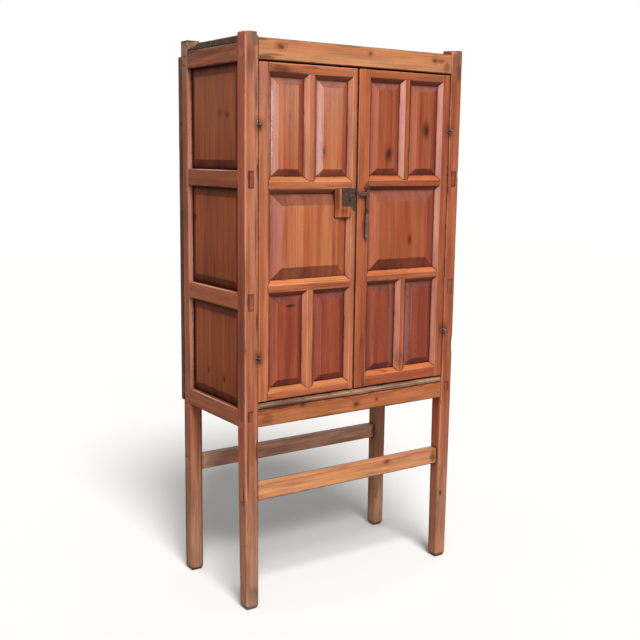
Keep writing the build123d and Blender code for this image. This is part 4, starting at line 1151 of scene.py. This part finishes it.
@dataclass
class Carcass:
    """The four posts with the rails and stretchers that join them front and back."""

    front: float = -0.218
    outer_x: float = 0.443
    hinge_x: float = 0.393
    hinge_heights: tuple[tuple[float, float], ...] = ((-1, 1.602), (-1, 0.862), (1, 1.602), (1, 0.886))
    rail_y: float = 0.2
    dust: Colour = Colour(182, 142, 114)
    dust_share: float = 0.75
    dust_full: float = 0.02
    dust_gone: float = 0.75

    def hinge_stains(self, side: int) -> tuple[Stain, ...]:
        """The dark patches round the hinge eyes on one side, -1 or 1."""
        places = [(hand * self.hinge_x, self.front, z) for hand, z in self.hinge_heights if hand == side]
        return tuple(Stain(place, size, depth) for place in places for size, depth in HINGE_STAINS)

    def posts(self) -> list[Timber]:
        """The four corner posts."""
        front = self.front
        left_stains = stains_on(front, (-0.405, 1.862, 0.02, 0.035, 0.6), (-0.42, 1.80, 0.02, 0.05, 0.35),
                                (-0.401, 1.70, 0.006, 0.07, 0.5), (-0.398, 1.47, 0.005, 0.05, 0.6),
                                (-0.404, 1.24, 0.004, 0.12, 0.6), (-0.399, 0.98, 0.004, 0.04, 0.7),
                                (-0.431, 0.52, 0.005, 0.16, 0.5))
        side_stains = (Stain((-0.412, front, 0.05), (0.03, 0.05, 0.04), 0.4),
                       Stain((-0.443, -0.199, 0.397), (0.008, 0.014, 0.04), 0.7),
                       Stain((-0.447, -0.19, 0.95), (0.008, 0.05, 0.6), 0.5))
        right_stains = stains_on(front, (0.409, 0.256, 0.008, 0.014, 0.8), (0.43, 1.80, 0.012, 0.04, 0.5))
        right_chips = (Chip((0.443, front, 0.827), (0.014, 0.02, 0.032), 0.006),
                       Chip((0.396, front + 0.004, 1.88), (0.016, 0.016, 0.018), 0.008),
                       Chip((0.443, front, 1.45), (0.01, 0.014, 0.02), 0.003))
        left_chips = (Chip((-0.443, front, 1.878), (0.012, 0.012, 0.012), 0.004),
                      Chip((-0.443, front, 0.36), (0.008, 0.012, 0.03), 0.003),
                      Chip((-0.394, front, 0.55), (0.008, 0.012, 0.04), 0.003))
        rear_chips = (Chip((-0.394, 0.17, 1.655), (0.016, 0.02, 0.03), 0.007),
                      Chip((-0.443, 0.17, 1.875), (0.02, 0.02, 0.012), 0.006))
        left_scuffs = (Scuff((-0.3972, front, 1.705), (0.0016, 0.02, 0.09), share=0.55, flake=1.0),
                       Scuff((-0.3978, front, 1.515), (0.0014, 0.02, 0.04), share=0.5, flake=1.0),
                       Scuff((-0.41, front, 1.86), (0.03, 0.02, 0.02), Colour(150, 122, 104), 0.5, 0.5),
                       Scuff((-0.415, front, 0.02), (0.03, 0.03, 0.05), Colour(172, 132, 108), 0.5, 0.5))
        # painted light: a pale strip on the rear left post's front face, beside the side panel
        painted_light_strip = (Scuff((-0.437, 0.169, 1.24), (0.012, 0.006, 0.62), Colour(198, 140, 120), 0.8, 0.25),)
        rear_top = (Stain((-0.42, 0.2, 1.885), (0.05, 0.05, 0.02), 0.45),)
        dusty = (Fade(self.dust, self.dust_full, self.dust_gone, self.dust_share),)
        left_fades = (Fade(Colour(166, 112, 96), 1.88, 1.6, 0.5), Fade(Colour(164, 88, 52), 0.9, 1.35, 0.45))
        return [
            Timber("front_left_post", Grain.UP_FRONT, POST_PINE, POST_WEAR, left_chips, scuffs=left_scuffs,
                   stains=self.hinge_stains(-1) + left_stains + side_stains, fades=left_fades + dusty),
            Timber("front_right_post", Grain.UP_FRONT, RED_POST_PINE, POST_WEAR, right_chips,
                   stains=self.hinge_stains(1) + right_stains,
                   fades=dusty + (Fade(Colour(140, 112, 92), 1.88, 1.74, 0.6),)),
            Timber("rear_left_post", Grain.UP_SIDE, SIDE_POST_PINE, SPLIT_WEAR, rear_chips, scuffs=painted_light_strip,
                   stains=rear_top, fades=dusty + (Fade(Colour(182, 150, 128), 1.88, 1.70, 0.9),)),
            Timber("rear_right_post", Grain.UP_SIDE, SIDE_POST_PINE,
                   fades=dusty + (Fade(Colour(222, 164, 132), 0.1, 0.75, 0.6),)),
        ]

    def end_grain(self, y: float, z: float, colour: Colour) -> tuple[Scuff, ...]:
        """The tone of a long rail's two ends where they come through the posts.

        Args:
            y: the rail's middle, front to back.
            z: its height.
            colour: the ends' colour.

        Returns:
            The two places.
        """
        return tuple(Scuff((hand * self.outer_x, y, z), (0.03, 0.05, 0.08), colour, 0.95, 0.1)
                     for hand in (-1.0, 1.0))

    def rails(self) -> list[Timber]:
        """The rails and stretchers that run from side to side."""
        front = self.front
        top_knots = knots_on(front, (-0.314, 1.841, 0.007, 0.010), (0.035, 1.843, 0.004, 0.006),
                             (0.316, 1.838, 0.006, 0.008))
        bottom_knots = knots_on(front, (-0.219, 0.6826, 0.004, 0.006), (0.005, 0.656, 0.007, 0.008),
                                (0.093, 0.6625, 0.004, 0.004))
        # painted shadow: the long thin line at 1.799 along the rail's lower edge; the others are stains
        top_stains_and_shadow_line = stains_on(front, (-0.37, 1.806, 0.04, 0.008, 0.7), (-0.385, 1.86, 0.03, 0.008, 0.6),
                               (0.0, 1.799, 0.42, 0.003, 0.75), (0.345, 1.838, 0.028, 0.012, 0.6),
                               (0.372, 1.82, 0.02, 0.03, 0.5), (-0.34, 1.815, 0.05, 0.006, 0.45))
        bottom_stains = stains_on(front, (-0.3, 0.687, 0.12, 0.006, 0.8), (-0.05, 0.688, 0.16, 0.004, 0.7),
                                  (0.22, 0.688, 0.14, 0.003, 0.6), (-0.36, 0.655, 0.03, 0.02, 0.35),
                                  (0.0, 0.633, 0.4, 0.003, 0.5))
        bites = ((-0.372, 0.02), (-0.31, 0.03), (-0.2, 0.05), (-0.11, 0.02), (-0.03, 0.03), (0.07, 0.012),
                 (0.19, 0.02), (0.3, 0.012))
        bitten = tuple(Chip((x, front, 0.688), (size, 0.014, 0.009), 0.004) for x, size in bites)
        stretcher_stains = (Stain((0.378, front, 0.402), (0.02, 0.03, 0.04), 0.85),
                            Stain((-0.3065, front, 0.377), (0.006, 0.02, 0.005), 0.9))
        stretcher_chips = (Chip((-0.3065, front, 0.373), (0.01, 0.02, 0.006), 0.003),)
        return [
            Timber("front_top_rail", Grain.ACROSS_FRONT, HEAD_PINE, knots=top_knots, stains=top_stains_and_shadow_line,
                   scuffs=self.end_grain(-self.rail_y, 1.83, Colour(188, 104, 72))),
            Timber("front_bottom_rail", Grain.ACROSS_FRONT, FOOT_PINE, knots=bottom_knots, chips=bitten,
                   stains=bottom_stains, scuffs=self.end_grain(-self.rail_y, 0.659, Colour(176, 86, 54))),
            Timber("front_stretcher", Grain.ACROSS_FRONT, GOLD_PINE, knots=(Knot((0.158, front, 0.418)),),
                   stains=stretcher_stains, chips=stretcher_chips,
                   scuffs=self.end_grain(-self.rail_y, 0.402, Colour(164, 96, 66))),
            Timber("rear_top_rail", Grain.ACROSS_FRONT, DARK_PINE,
                   scuffs=self.end_grain(self.rail_y, 1.83, Colour(176, 124, 94))),
            Timber("rear_bottom_rail", Grain.ACROSS_FRONT, RED_POST_PINE),
            # painted light: the pale pine stands in for light that the carcass's shadow takes away
            Timber("rear_stretcher", Grain.ACROSS_FRONT, PAINTED_LIGHT_PINE,
                   scuffs=self.end_grain(self.rail_y, 0.402, Colour(164, 104, 78)),
                   stains=(Stain((-0.28, 0.17, 0.405), (0.14, 0.03, 0.05), 0.35),
                           Stain((0.39, 0.17, 0.405), (0.01, 0.03, 0.03), 0.7))),
        ]

    def build(self) -> None:
        """Builds the posts, rails and stretchers."""
        for timber in self.posts() + self.rails():
            timber.build()


@dataclass
class Sides:
    """The rails and raised panels of the two sides."""

    face: float = 0.432
    rail_heights: tuple[tuple[str, float], ...] = (("top", 1.820), ("upper", 1.431), ("lower", 1.043),
                                                   ("bottom", 0.659))
    rail_tones: tuple[tuple[str, Colour, float], ...] = (("upper", Colour(142, 66, 40), 0.4),
                                                         ("lower", Colour(222, 132, 84), 0.45))
    tenon_x: float = 0.4185
    tenon_half_wide: float = 0.0085
    tenon_half_high: float = 0.029
    outer_x: float = 0.443
    front: float = -0.218

    def rail(self, side: str, name: str, height: float) -> Timber:
        """One side rail, its tenon's end grain dark on the post's face.

        Args:
            side: left or right.
            name: top, upper, lower or bottom.
            height: its middle's height.

        Returns:
            The rail.
        """
        hand = -1.0 if side == "left" else 1.0
        hidden = name == "top"
        colour = Colour(164, 110, 92) if hidden else Colour(144, 82, 66)
        outline = 0.15 if hidden else 0.65
        tenons = tuple(Tenon((hand * self.tenon_x, y, height), self.tenon_half_wide, self.tenon_half_high,
                             colour, outline) for y in (self.front, -self.front))
        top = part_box(f"{side}_side_{name}_rail")[1].z
        edge = Scuff((hand * self.outer_x, 0.0, top), (0.004, 0.16, 0.0035), share=0.75, flake=0.6)
        finish = MOTTLED_PINE if hidden else SIDE_POST_PINE
        fades = tuple(Fade(tone, top, top - 1.0, share)
                      for rail, tone, share in self.rail_tones if rail == name)
        return Timber(f"{side}_side_{name}_rail", Grain.DEEP_SIDE, finish, tenons=tenons, scuffs=(edge,),
                      fades=fades)

    def panel(self, side: str, name: str) -> Timber:
        """One side panel with the marks that it has, and its painted light and shade.

        Args:
            side: left or right.
            name: top, middle or bottom.

        Returns:
            The panel.
        """
        marks = {"left_top": (Knot((-self.face, -0.039, 1.6395), 0.008, 0.010),
                              Knot((-self.face, -0.085, 1.635), 0.007, 0.009)),
                 "left_bottom": (Knot((-self.face, -0.06, 0.765), 0.005, 0.008),
                                 Knot((-self.face, 0.05, 0.775), 0.004, 0.007)),
                 "right_middle": (Knot((self.face, 0.03, 1.21), 0.007, 0.012),)}
        stains = {"left_middle": (Stain((-self.face, 0.153, 1.298), (0.02, 0.03, 0.02), 0.8),)}
        key = f"{side}_{name}"
        # painted shade: each side panel darkens towards its bottom; painted light: the top panel pales
        # towards its top
        shade = {"top": 0.1, "middle": 0.4, "bottom": 0.5}[name]
        pale_tone = {"top": 0.6, "middle": 0.05, "bottom": 0.0}[name]
        low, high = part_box(f"{side}_side_{name}_panel")
        fades = (Fade(Colour(104, 52, 32), low.z, low.z + 0.7 * (high.z - low.z), shade),
                 Fade(Colour(196, 128, 98), high.z, low.z, pale_tone))
        return Timber(f"{side}_side_{name}_panel", Grain.UP_SIDE, SIDE_PINE, PANEL_WEAR,
                      knots=marks.get(key, ()), stains=stains.get(key, ()), fades=fades)

    def build(self) -> None:
        """Builds both sides."""
        for side in ("left", "right"):
            for name, height in self.rail_heights:
                self.rail(side, name, height).build()
            for name in ("top", "middle", "bottom"):
                self.panel(side, name).build()


@dataclass
class Boards:
    """The rough boards: top, floor, back and the shelves inside."""

    boards: tuple[Timber, ...] = (Timber("top_boards", Grain.ACROSS_TOP, DARK_PINE, SPLIT_WEAR),
                                  Timber("floor_boards", Grain.ACROSS_TOP, SILL_PINE, SPLIT_WEAR),
                                  Timber("upper_shelf", Grain.ACROSS_TOP, DARK_PINE),
                                  Timber("lower_shelf", Grain.ACROSS_TOP, DARK_PINE),
                                  Timber("shelf_cleats", Grain.DEEP_SIDE, DARK_PINE),
                                  Timber("back_boards", Grain.UP_FRONT, DARK_PINE, SPLIT_WEAR))

    def build(self) -> None:
        """Builds every board."""
        for timber in self.boards:
            timber.build()


@dataclass
class Door:
    """One framed door with five raised panels."""

    side: str
    panel_finishes: tuple[PineFinish, PineFinish, PineFinish]
    front: float = -0.218
    field: float = -0.213
    bevel: float = -0.208
    hinge_x: float = 0.393
    hinge_heights: tuple[float, ...] = (1.602, 0.862)

    def marks(self) -> dict[str, dict[str, tuple]]:
        """The knots, stains and chips of this door's pieces, by piece."""
        return self.left_marks() if self.side == "left" else self.right_marks()

    def left_marks(self) -> dict[str, dict[str, tuple]]:
        """The marks of the left door, its hinge side flaked and gnawed, with a painted sheen on one upper
        bevel.
        """
        front, field = self.front, self.field
        pale_tone = Colour(226, 190, 182)
        flakes_and_sheen = (Scuff((-0.3395, -0.2055, 1.665), (0.0045, 0.012, 0.07), pale_tone, 0.8, 0.7),
                  Scuff((-0.3405, -0.2055, 1.55), (0.004, 0.012, 0.08), pale_tone, 0.8, 0.8),
                  # painted sheen on the left bevel of the right-hand upper panel
                  Scuff((-0.158, self.bevel, 1.53), (0.008, 0.012, 0.12), Colour(214, 180, 178), 0.45, 0.5))
        pale_edge = Scuff((-0.3525, -0.214, 1.58), (0.0025, 0.012, 0.12), pale_tone, 0.6, 1.0)
        ragged = tuple(Chip((-0.3475, front, z), (0.010, 0.014, size), depth)
                       for z, size, depth in ((1.683, 0.016, 0.0035), (1.654, 0.010, 0.0025),
                                              (1.616, 0.022, 0.0035), (1.574, 0.014, 0.004),
                                              (1.548, 0.012, 0.003), (1.470, 0.010, 0.002)))
        return {
            "left_stile": {"chips": ragged,
                           "stains": stains_on(self.bevel, (-0.3455, 1.60, 0.003, 0.14, 0.85)),
                           "scuffs": (pale_edge,),
                           "fades": (Fade(Colour(196, 130, 106), 1.79, 1.35, 0.7),)},
            "muntins": {"fades": (Fade(Colour(214, 134, 100), 1.75, 1.2, 0.6),)},
            "top_rail": {"stains": stains_on(front, (-0.31, 1.775, 0.04, 0.012, 0.5),
                                             (-0.2, 1.785, 0.05, 0.006, 0.45))},
            "upper_panels": {"knots": knots_on(field, (-0.147, 1.5216, 0.0065, 0.011),
                                               (-0.275, 1.628, 0.003, 0.005)),
                             "scuffs": flakes_and_sheen, "fades": (Fade(Colour(206, 140, 118), 1.75, 1.45, 0.65),),
                             "stains": stains_on(field, (-0.155, 1.545, 0.004, 0.010, 0.3),
                                                 (-0.149, 1.50, 0.003, 0.012, 0.3))},
            "middle_panel": {"stains": stains_on(field, (-0.292, 1.22, 0.012, 0.12, 0.25),
                                                 (-0.1, 1.20, 0.006, 0.08, 0.3))},
            "lower_panels": {"chips": (Chip((-0.270, field, 1.0215), (0.022, 0.02, 0.006), 0.004),),
                             "stains": stains_on(field, (-0.270, 1.0215, 0.024, 0.006, 0.95))},
        }

    def right_marks(self) -> dict[str, dict[str, tuple]]:
        """The marks of the right door, its meeting side blackened by the iron, with the drop handle's shadow
        painted beside it.
        """
        front, field, bevel = self.front, self.field, self.bevel
        return {
            "left_stile": {"fades": (Fade(Colour(208, 116, 74), 1.8, 0.4, 0.8),),
                           "stains": stains_on(front, (0.028, 1.37, 0.018, 0.05, 0.55),
                                               (0.03, 1.413, 0.012, 0.014, 0.6),
                                               (0.027, 1.322, 0.016, 0.018, 0.45),
                                               # painted shadow of the drop handle, on the stile beside it
                                               (0.0185, 1.272, 0.006, 0.045, 0.5))},
            "upper_panels": {"knots": knots_on(field, (0.1266, 1.5187, 0.009, 0.013),
                                               (0.291, 1.5984, 0.007, 0.013)),
                             "stains": stains_on(field, (0.285, 1.60, 0.02, 0.04, 0.35),
                                                 (0.262, 1.64, 0.006, 0.05, 0.3),
                                                 (0.12, 1.50, 0.014, 0.03, 0.35))
                             + stains_on(front, (0.20, 1.64, 0.006, 0.10, 0.3))},
            "middle_panel": {"knots": knots_on(field, (0.2276, 1.2213, 0.0048, 0.010))},
            "lower_panels": {"scuffs": (
                Scuff((0.153, bevel, 0.91), (0.013, 0.02, 0.19), Colour(128, 88, 64), 0.8, 0.3),
                Scuff((0.227, bevel, 0.91), (0.012, 0.02, 0.19), Colour(142, 104, 104), 0.7, 0.6))},
            "muntins": {"stains": (Stain((0.19, front, 0.80), (0.02, 0.03, 0.05), 0.35),)},
            "lower_rail": {"knots": knots_on(front, (0.206, 1.108, 0.003, 0.006))},
        }

    def build(self) -> None:
        """Builds the door's stiles, rails, muntins and panels."""
        hand = -1.0 if self.side == "left" else 1.0
        hinge_stains = tuple(Stain((hand * self.hinge_x, self.front, z), size, depth)
                             for z in self.hinge_heights for size, depth in HINGE_STAINS)
        marks = self.marks()
        # painted shade: the right door's frame takes the darker copy of the pine
        framing = FRAME_PINE if self.side == "left" else SHADED_FRAME_PINE
        panels = dict(zip(("lower_panels", "middle_panel", "upper_panels"), self.panel_finishes))
        hung = marks.setdefault(f"{self.side}_stile", {})
        hung["stains"] = hung.get("stains", ()) + hinge_stains
        door = f"{self.side}_door_"
        for name in ("left_stile", "right_stile", "muntins"):
            Timber(door + name, Grain.UP_FRONT, framing, **marks.get(name, {})).build()
        for name in ("bottom_rail", "lower_rail", "upper_rail", "top_rail"):
            Timber(door + name, Grain.ACROSS_FRONT, framing, **marks.get(name, {})).build()
        for name, finish in panels.items():
            Timber(door + name, Grain.UP_FRONT, finish, PANEL_WEAR, **marks.get(name, {})).build()


@dataclass(frozen=True)
class Nails:
    """Forged nails' heads: their name, body and places, the way they look and their size in metres.

    least is the shortest of its corners as a share of the radius; shoulder is the share of the radius and
    of the rise where its sides turn in to the tip.
    """

    name: str
    body: str
    places: tuple[Triple, ...]
    outwards: Vector
    rise: float = 0.001
    radius: float = 0.0045
    sunk: float = 0.0015
    sides: int = 7
    least: float = 0.88
    shoulder: Pair = (0.6, 0.75)

    def head(self, work: bmesh.types.BMesh, place: Vector, chance: random.Random) -> None:
        """Forges one head, a low faceted dome.

        Args:
            work: the mesh.
            place: the middle of its foot.
            chance: what makes each head its own.
        """
        turn = self.outwards.to_track_quat("Z", "Y")
        start = chance.uniform(0.0, math.tau)
        rings = []
        for share, level in ((1.0, -self.sunk), (1.0, 0.0), (self.shoulder[0], self.rise * self.shoulder[1])):
            points = []
            for number in range(self.sides):
                angle = start + math.tau * number / self.sides
                reach = self.radius * share * chance.uniform(self.least, 1.0)
                spot = Vector((reach * math.cos(angle), reach * math.sin(angle), level))
                points.append(work.verts.new(place + turn @ spot))
            rings.append(points)
        tip = work.verts.new(place + turn @ Vector((0.0, 0.0, self.rise)))
        work.faces.new(list(reversed(rings[0])))
        for number in range(self.sides):
            after = (number + 1) % self.sides
            for lower, upper in zip(rings, rings[1:]):
                work.faces.new((lower[number], lower[after], upper[after], upper[number]))
            work.faces.new((rings[-1][number], rings[-1][after], tip))

    def build(self) -> None:
        """Forges the heads as one piece."""
        chance = random.Random(self.name)
        work = bmesh.new()
        for place in self.places:
            self.head(work, Vector(place), chance)
        mesh = bpy.data.meshes.new(self.name)
        work.to_mesh(mesh)
        work.free()
        piece = bpy.data.objects.new(self.name, mesh)
        bpy.context.scene.collection.objects.link(piece)
        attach(piece, self.body)
        IRON.dress(piece)
        log.info("built %s", piece.name)


IRON_LOOKS = {"lock_plate": PLATE_IRON, "hasp": HASP_IRON, "hasp_staple": HASP_IRON}
IRON_WEARS = {"lock_plate": PLATE_WEAR, "drop_handle": HANDLE_WEAR}


@dataclass
class Ironwork:
    """The hinges' eyes, the lock with its wooden block, the hasp and the drop handle."""

    front: float = -0.218
    plate_face: float = -0.220
    plate_nails: tuple[Pair, ...] = ((-0.066, 1.396), (-0.066, 1.349), (-0.040, 1.397))
    outer_columns: tuple[float, ...] = (-0.41, 0.41)
    inner_columns: tuple[float, ...] = (-0.25, -0.2, -0.03, 0.03, 0.2, 0.25)
    nail_rows: tuple[float, ...] = (0.66, 0.95, 1.24, 1.53, 1.82)
    top_nails: tuple[Pair, ...] = ((-0.42, -0.15), (-0.42, -0.04), (0.42, -0.15), (0.42, -0.04),
                                   (0.42, 0.04), (0.42, 0.14))
    back_scatter: Pair = (0.006, 0.008)
    top_scatter: float = 0.01
    back_sunk: float = 0.0007
    top_sunk: float = 0.0012
    forgings: tuple[str, ...] = ("post_hinge_eyes", "left_door_hinge_eyes", "right_door_hinge_eyes",
                                 "lock_plate", "lock_bolt", "hasp_staple", "hasp", "drop_handle")

    def build(self) -> None:
        """Builds the forgings and the lock's block."""
        for name in self.forgings:
            piece = Workpiece(name, 2, IRON_WEARS.get(name, IRON_WEAR)).piece
            IRON_LOOKS.get(name, EYE_IRON_WITH_GLINT if name.endswith("eyes") else IRON).dress(piece)
            log.info("built %s", piece.name)
        block_marks = (Stain((-0.09, self.front, 1.36), (0.017, 0.03, 0.07), 0.6),
                       Stain((-0.07, self.front, 1.326), (0.03, 0.03, 0.012), 0.35))
        Timber("lock_block", Grain.UP_FRONT, BLOCK_PINE, stains=block_marks).build()
        for nails in self.nails():
            nails.build()

    def nails(self) -> tuple[Nails, ...]:
        """The nails that hold the lock's plate, the top boards and the back boards."""
        chance = random.Random("nails")
        plate = tuple((x, self.plate_face, z) for x, z in self.plate_nails)
        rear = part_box("back_boards")[1].y - self.back_sunk
        spots = [(x, z) for x in self.outer_columns for z in self.nail_rows]
        spots += [(x, z) for x in self.inner_columns for z in (self.nail_rows[0], self.nail_rows[-1])]
        aside, aloft = self.back_scatter
        back = tuple((x + chance.uniform(-aside, aside), rear, z + chance.uniform(-aloft, aloft))
                     for x, z in spots)
        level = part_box("top_boards")[1].z - self.top_sunk
        astray = self.top_scatter
        top = tuple((x, y + chance.uniform(-astray, astray), level) for x, y in self.top_nails)
        return (Nails("plate_nails", "left_door", plate, Vector((0.0, -1.0, 0.0)), 0.0011, 0.0034),
                Nails("back_nails", "carcass", back, Vector((0.0, 1.0, 0.0)), 0.0006),
                Nails("top_nails", "carcass", top, Vector((0.0, 0.0, 1.0)), 0.0011))


# ---------------------------------------------------------------- the studio
@dataclass(frozen=True)
class Lamp:
    """A broad soft source, far away.

    name: its name. round_left: how far it stands left of straight ahead. height: how high it stands.
    spread: how wide it is, all in degrees. power: its strength. tint: its colour.
    """

    name: str
    round_left: float
    height: float
    spread: float
    power: float
    tint: Triple

    def hang(self) -> None:
        """Hangs the lamp so that it looks at the cupboard."""
        data = bpy.data.lights.new(self.name, "SUN")
        data.energy = self.power
        data.angle = math.radians(self.spread)
        data.color = self.tint
        lamp = bpy.data.objects.new(self.name, data)
        side, rise = math.radians(self.round_left), math.radians(self.height)
        source = Vector((-math.sin(side) * math.cos(rise), -math.cos(side) * math.cos(rise), math.sin(rise)))
        lamp.rotation_euler = (-source).to_track_quat("-Z", "Y").to_euler()
        bpy.context.scene.collection.objects.link(lamp)


@dataclass
class Studio:
    """The pale floor, the soft light and the camera.

    heading turns the camera from the back towards the right, dip turns it up and tilt rolls it, in degrees.
    """

    eye: Triple = (-1.9787, -2.8745, 1.5008)
    heading: float = 34.4856
    dip: float = -9.4181
    tilt: float = 0.7315
    lens_mm: float = 54.95
    sensor_mm: float = 36.0
    farthest: float = 50.0
    floor_reach: float = 12.0
    floor_tone: Tone = (0.94, 0.94, 0.935, 1.0)
    floor_bounce: Tone = (0.12, 0.11, 0.10, 1.0)
    floor_roughness: float = 0.9
    floor_shine: float = 0.1
    background: Tone = (1.0, 1.0, 1.0, 1.0)
    soft_light: Tone = (1.0, 0.985, 0.96, 1.0)
    soft_power: float = 0.3
    lamps: tuple[Lamp, ...] = (Lamp("overhead", 18.0, 53.0, 22.0, 2.9, (1.0, 0.985, 0.96)),
                               Lamp("window", 24.0, 12.0, 46.0, 0.8, (0.93, 0.96, 1.0)))

    def camera(self) -> None:
        """Sets the camera."""
        heading, dip, tilt = (math.radians(angle) for angle in (self.heading, self.dip, self.tilt))
        right = Vector((math.cos(heading), -math.sin(heading), 0.0))
        ahead = Vector((math.sin(heading), math.cos(heading), 0.0))
        forward = Vector((ahead.x * math.cos(dip), ahead.y * math.cos(dip), math.sin(dip)))
        up = right.cross(forward)
        level = right * math.cos(tilt) + up * math.sin(tilt)
        upright = up * math.cos(tilt) - right * math.sin(tilt)
        data = bpy.data.cameras.new("camera")
        data.sensor_width = self.sensor_mm
        data.lens = self.lens_mm
        data.clip_end = self.farthest
        camera = bpy.data.objects.new("camera", data)
        turn = Matrix((level, upright, -forward)).transposed()
        camera.matrix_world = Matrix.Translation(self.eye) @ turn.to_4x4()
        bpy.context.scene.collection.objects.link(camera)
        bpy.context.scene.camera = camera

    def floor(self) -> None:
        """Lays a plain pale floor that keeps the cupboard's shadow."""
        mesh = bpy.data.meshes.new("floor")
        reach = self.floor_reach
        mesh.from_pydata([(-reach, -reach, 0), (reach, -reach, 0), (reach, reach, 0), (-reach, reach, 0)],
                         [], [(0, 1, 2, 3)])
        floor = bpy.data.objects.new("floor", mesh)
        bpy.context.scene.collection.objects.link(floor)
        shader = Shader("pale_floor")
        seen = self.plain_rays(shader.tree)
        tone = shader.blend(seen, self.floor_bounce, self.floor_tone)
        shader.feed(shader.surface.inputs["Base Color"], tone)
        shader.surface.inputs["Roughness"].default_value = self.floor_roughness
        shader.surface.inputs["Specular IOR Level"].default_value = self.floor_shine
        mesh.materials.append(shader.material)

    def plain_rays(self, tree: bpy.types.NodeTree) -> Socket:
        """Whether a ray is one that shows the plain pale surroundings: seen, mirrored or through glass.

        Args:
            tree: the node tree.

        Returns:
            The answer's socket, 0 or 1.
        """
        path = tree.nodes.new("ShaderNodeLightPath")
        answer = path.outputs["Is Camera Ray"]
        for name in ("Is Glossy Ray", "Is Transmission Ray"):
            either = tree.nodes.new("ShaderNodeMath")
            either.operation = "MAXIMUM"
            tree.links.new(answer, either.inputs[0])
            tree.links.new(path.outputs[name], either.inputs[1])
            answer = either.outputs[0]
        return answer

    def surroundings(self) -> None:
        """Sets a plain background to be seen and a soft one that lights."""
        world = bpy.data.worlds.new("surroundings")
        world.use_nodes = True
        tree = world.node_tree
        tree.nodes.clear()
        output = tree.nodes.new("ShaderNodeOutputWorld")
        choose = tree.nodes.new("ShaderNodeMixShader")
        tree.links.new(self.plain_rays(tree), choose.inputs[0])
        for number, tone, power in ((1, self.soft_light, self.soft_power), (2, self.background, 1.0)):
            backdrop = tree.nodes.new("ShaderNodeBackground")
            backdrop.inputs["Color"].default_value = tone
            backdrop.inputs["Strength"].default_value = power
            tree.links.new(backdrop.outputs[0], choose.inputs[number])
        tree.links.new(choose.outputs[0], output.inputs[0])
        bpy.context.scene.world = world

    def build(self) -> None:
        """Builds the whole studio."""
        self.camera()
        self.floor()
        self.surroundings()
        for lamp in self.lamps:
            lamp.hang()
        bpy.context.scene.view_settings.view_transform = "Standard"
        log.info("studio built")


def main() -> None:
    """Builds the studio and every sub-assembly in order."""
    logging.basicConfig(level=logging.INFO, format="%(name)s: %(message)s")
    Studio().build()
    Carcass().build()
    Sides().build()
    Boards().build()
    # painted shade: the lower panels and the right door's panels take darker copies of the pine
    Door("left", (SHADED_PANEL_PINE, BROAD_PANEL_PINE, PANEL_PINE)).build()
    Door("right", (SHADED_PANEL_PINE, HALF_SHADED_PANEL_PINE, HALF_SHADED_PANEL_PINE),
         hinge_heights=(1.602, 0.886)).build()
    Ironwork().build()


if __name__ == "__main__":
    main()
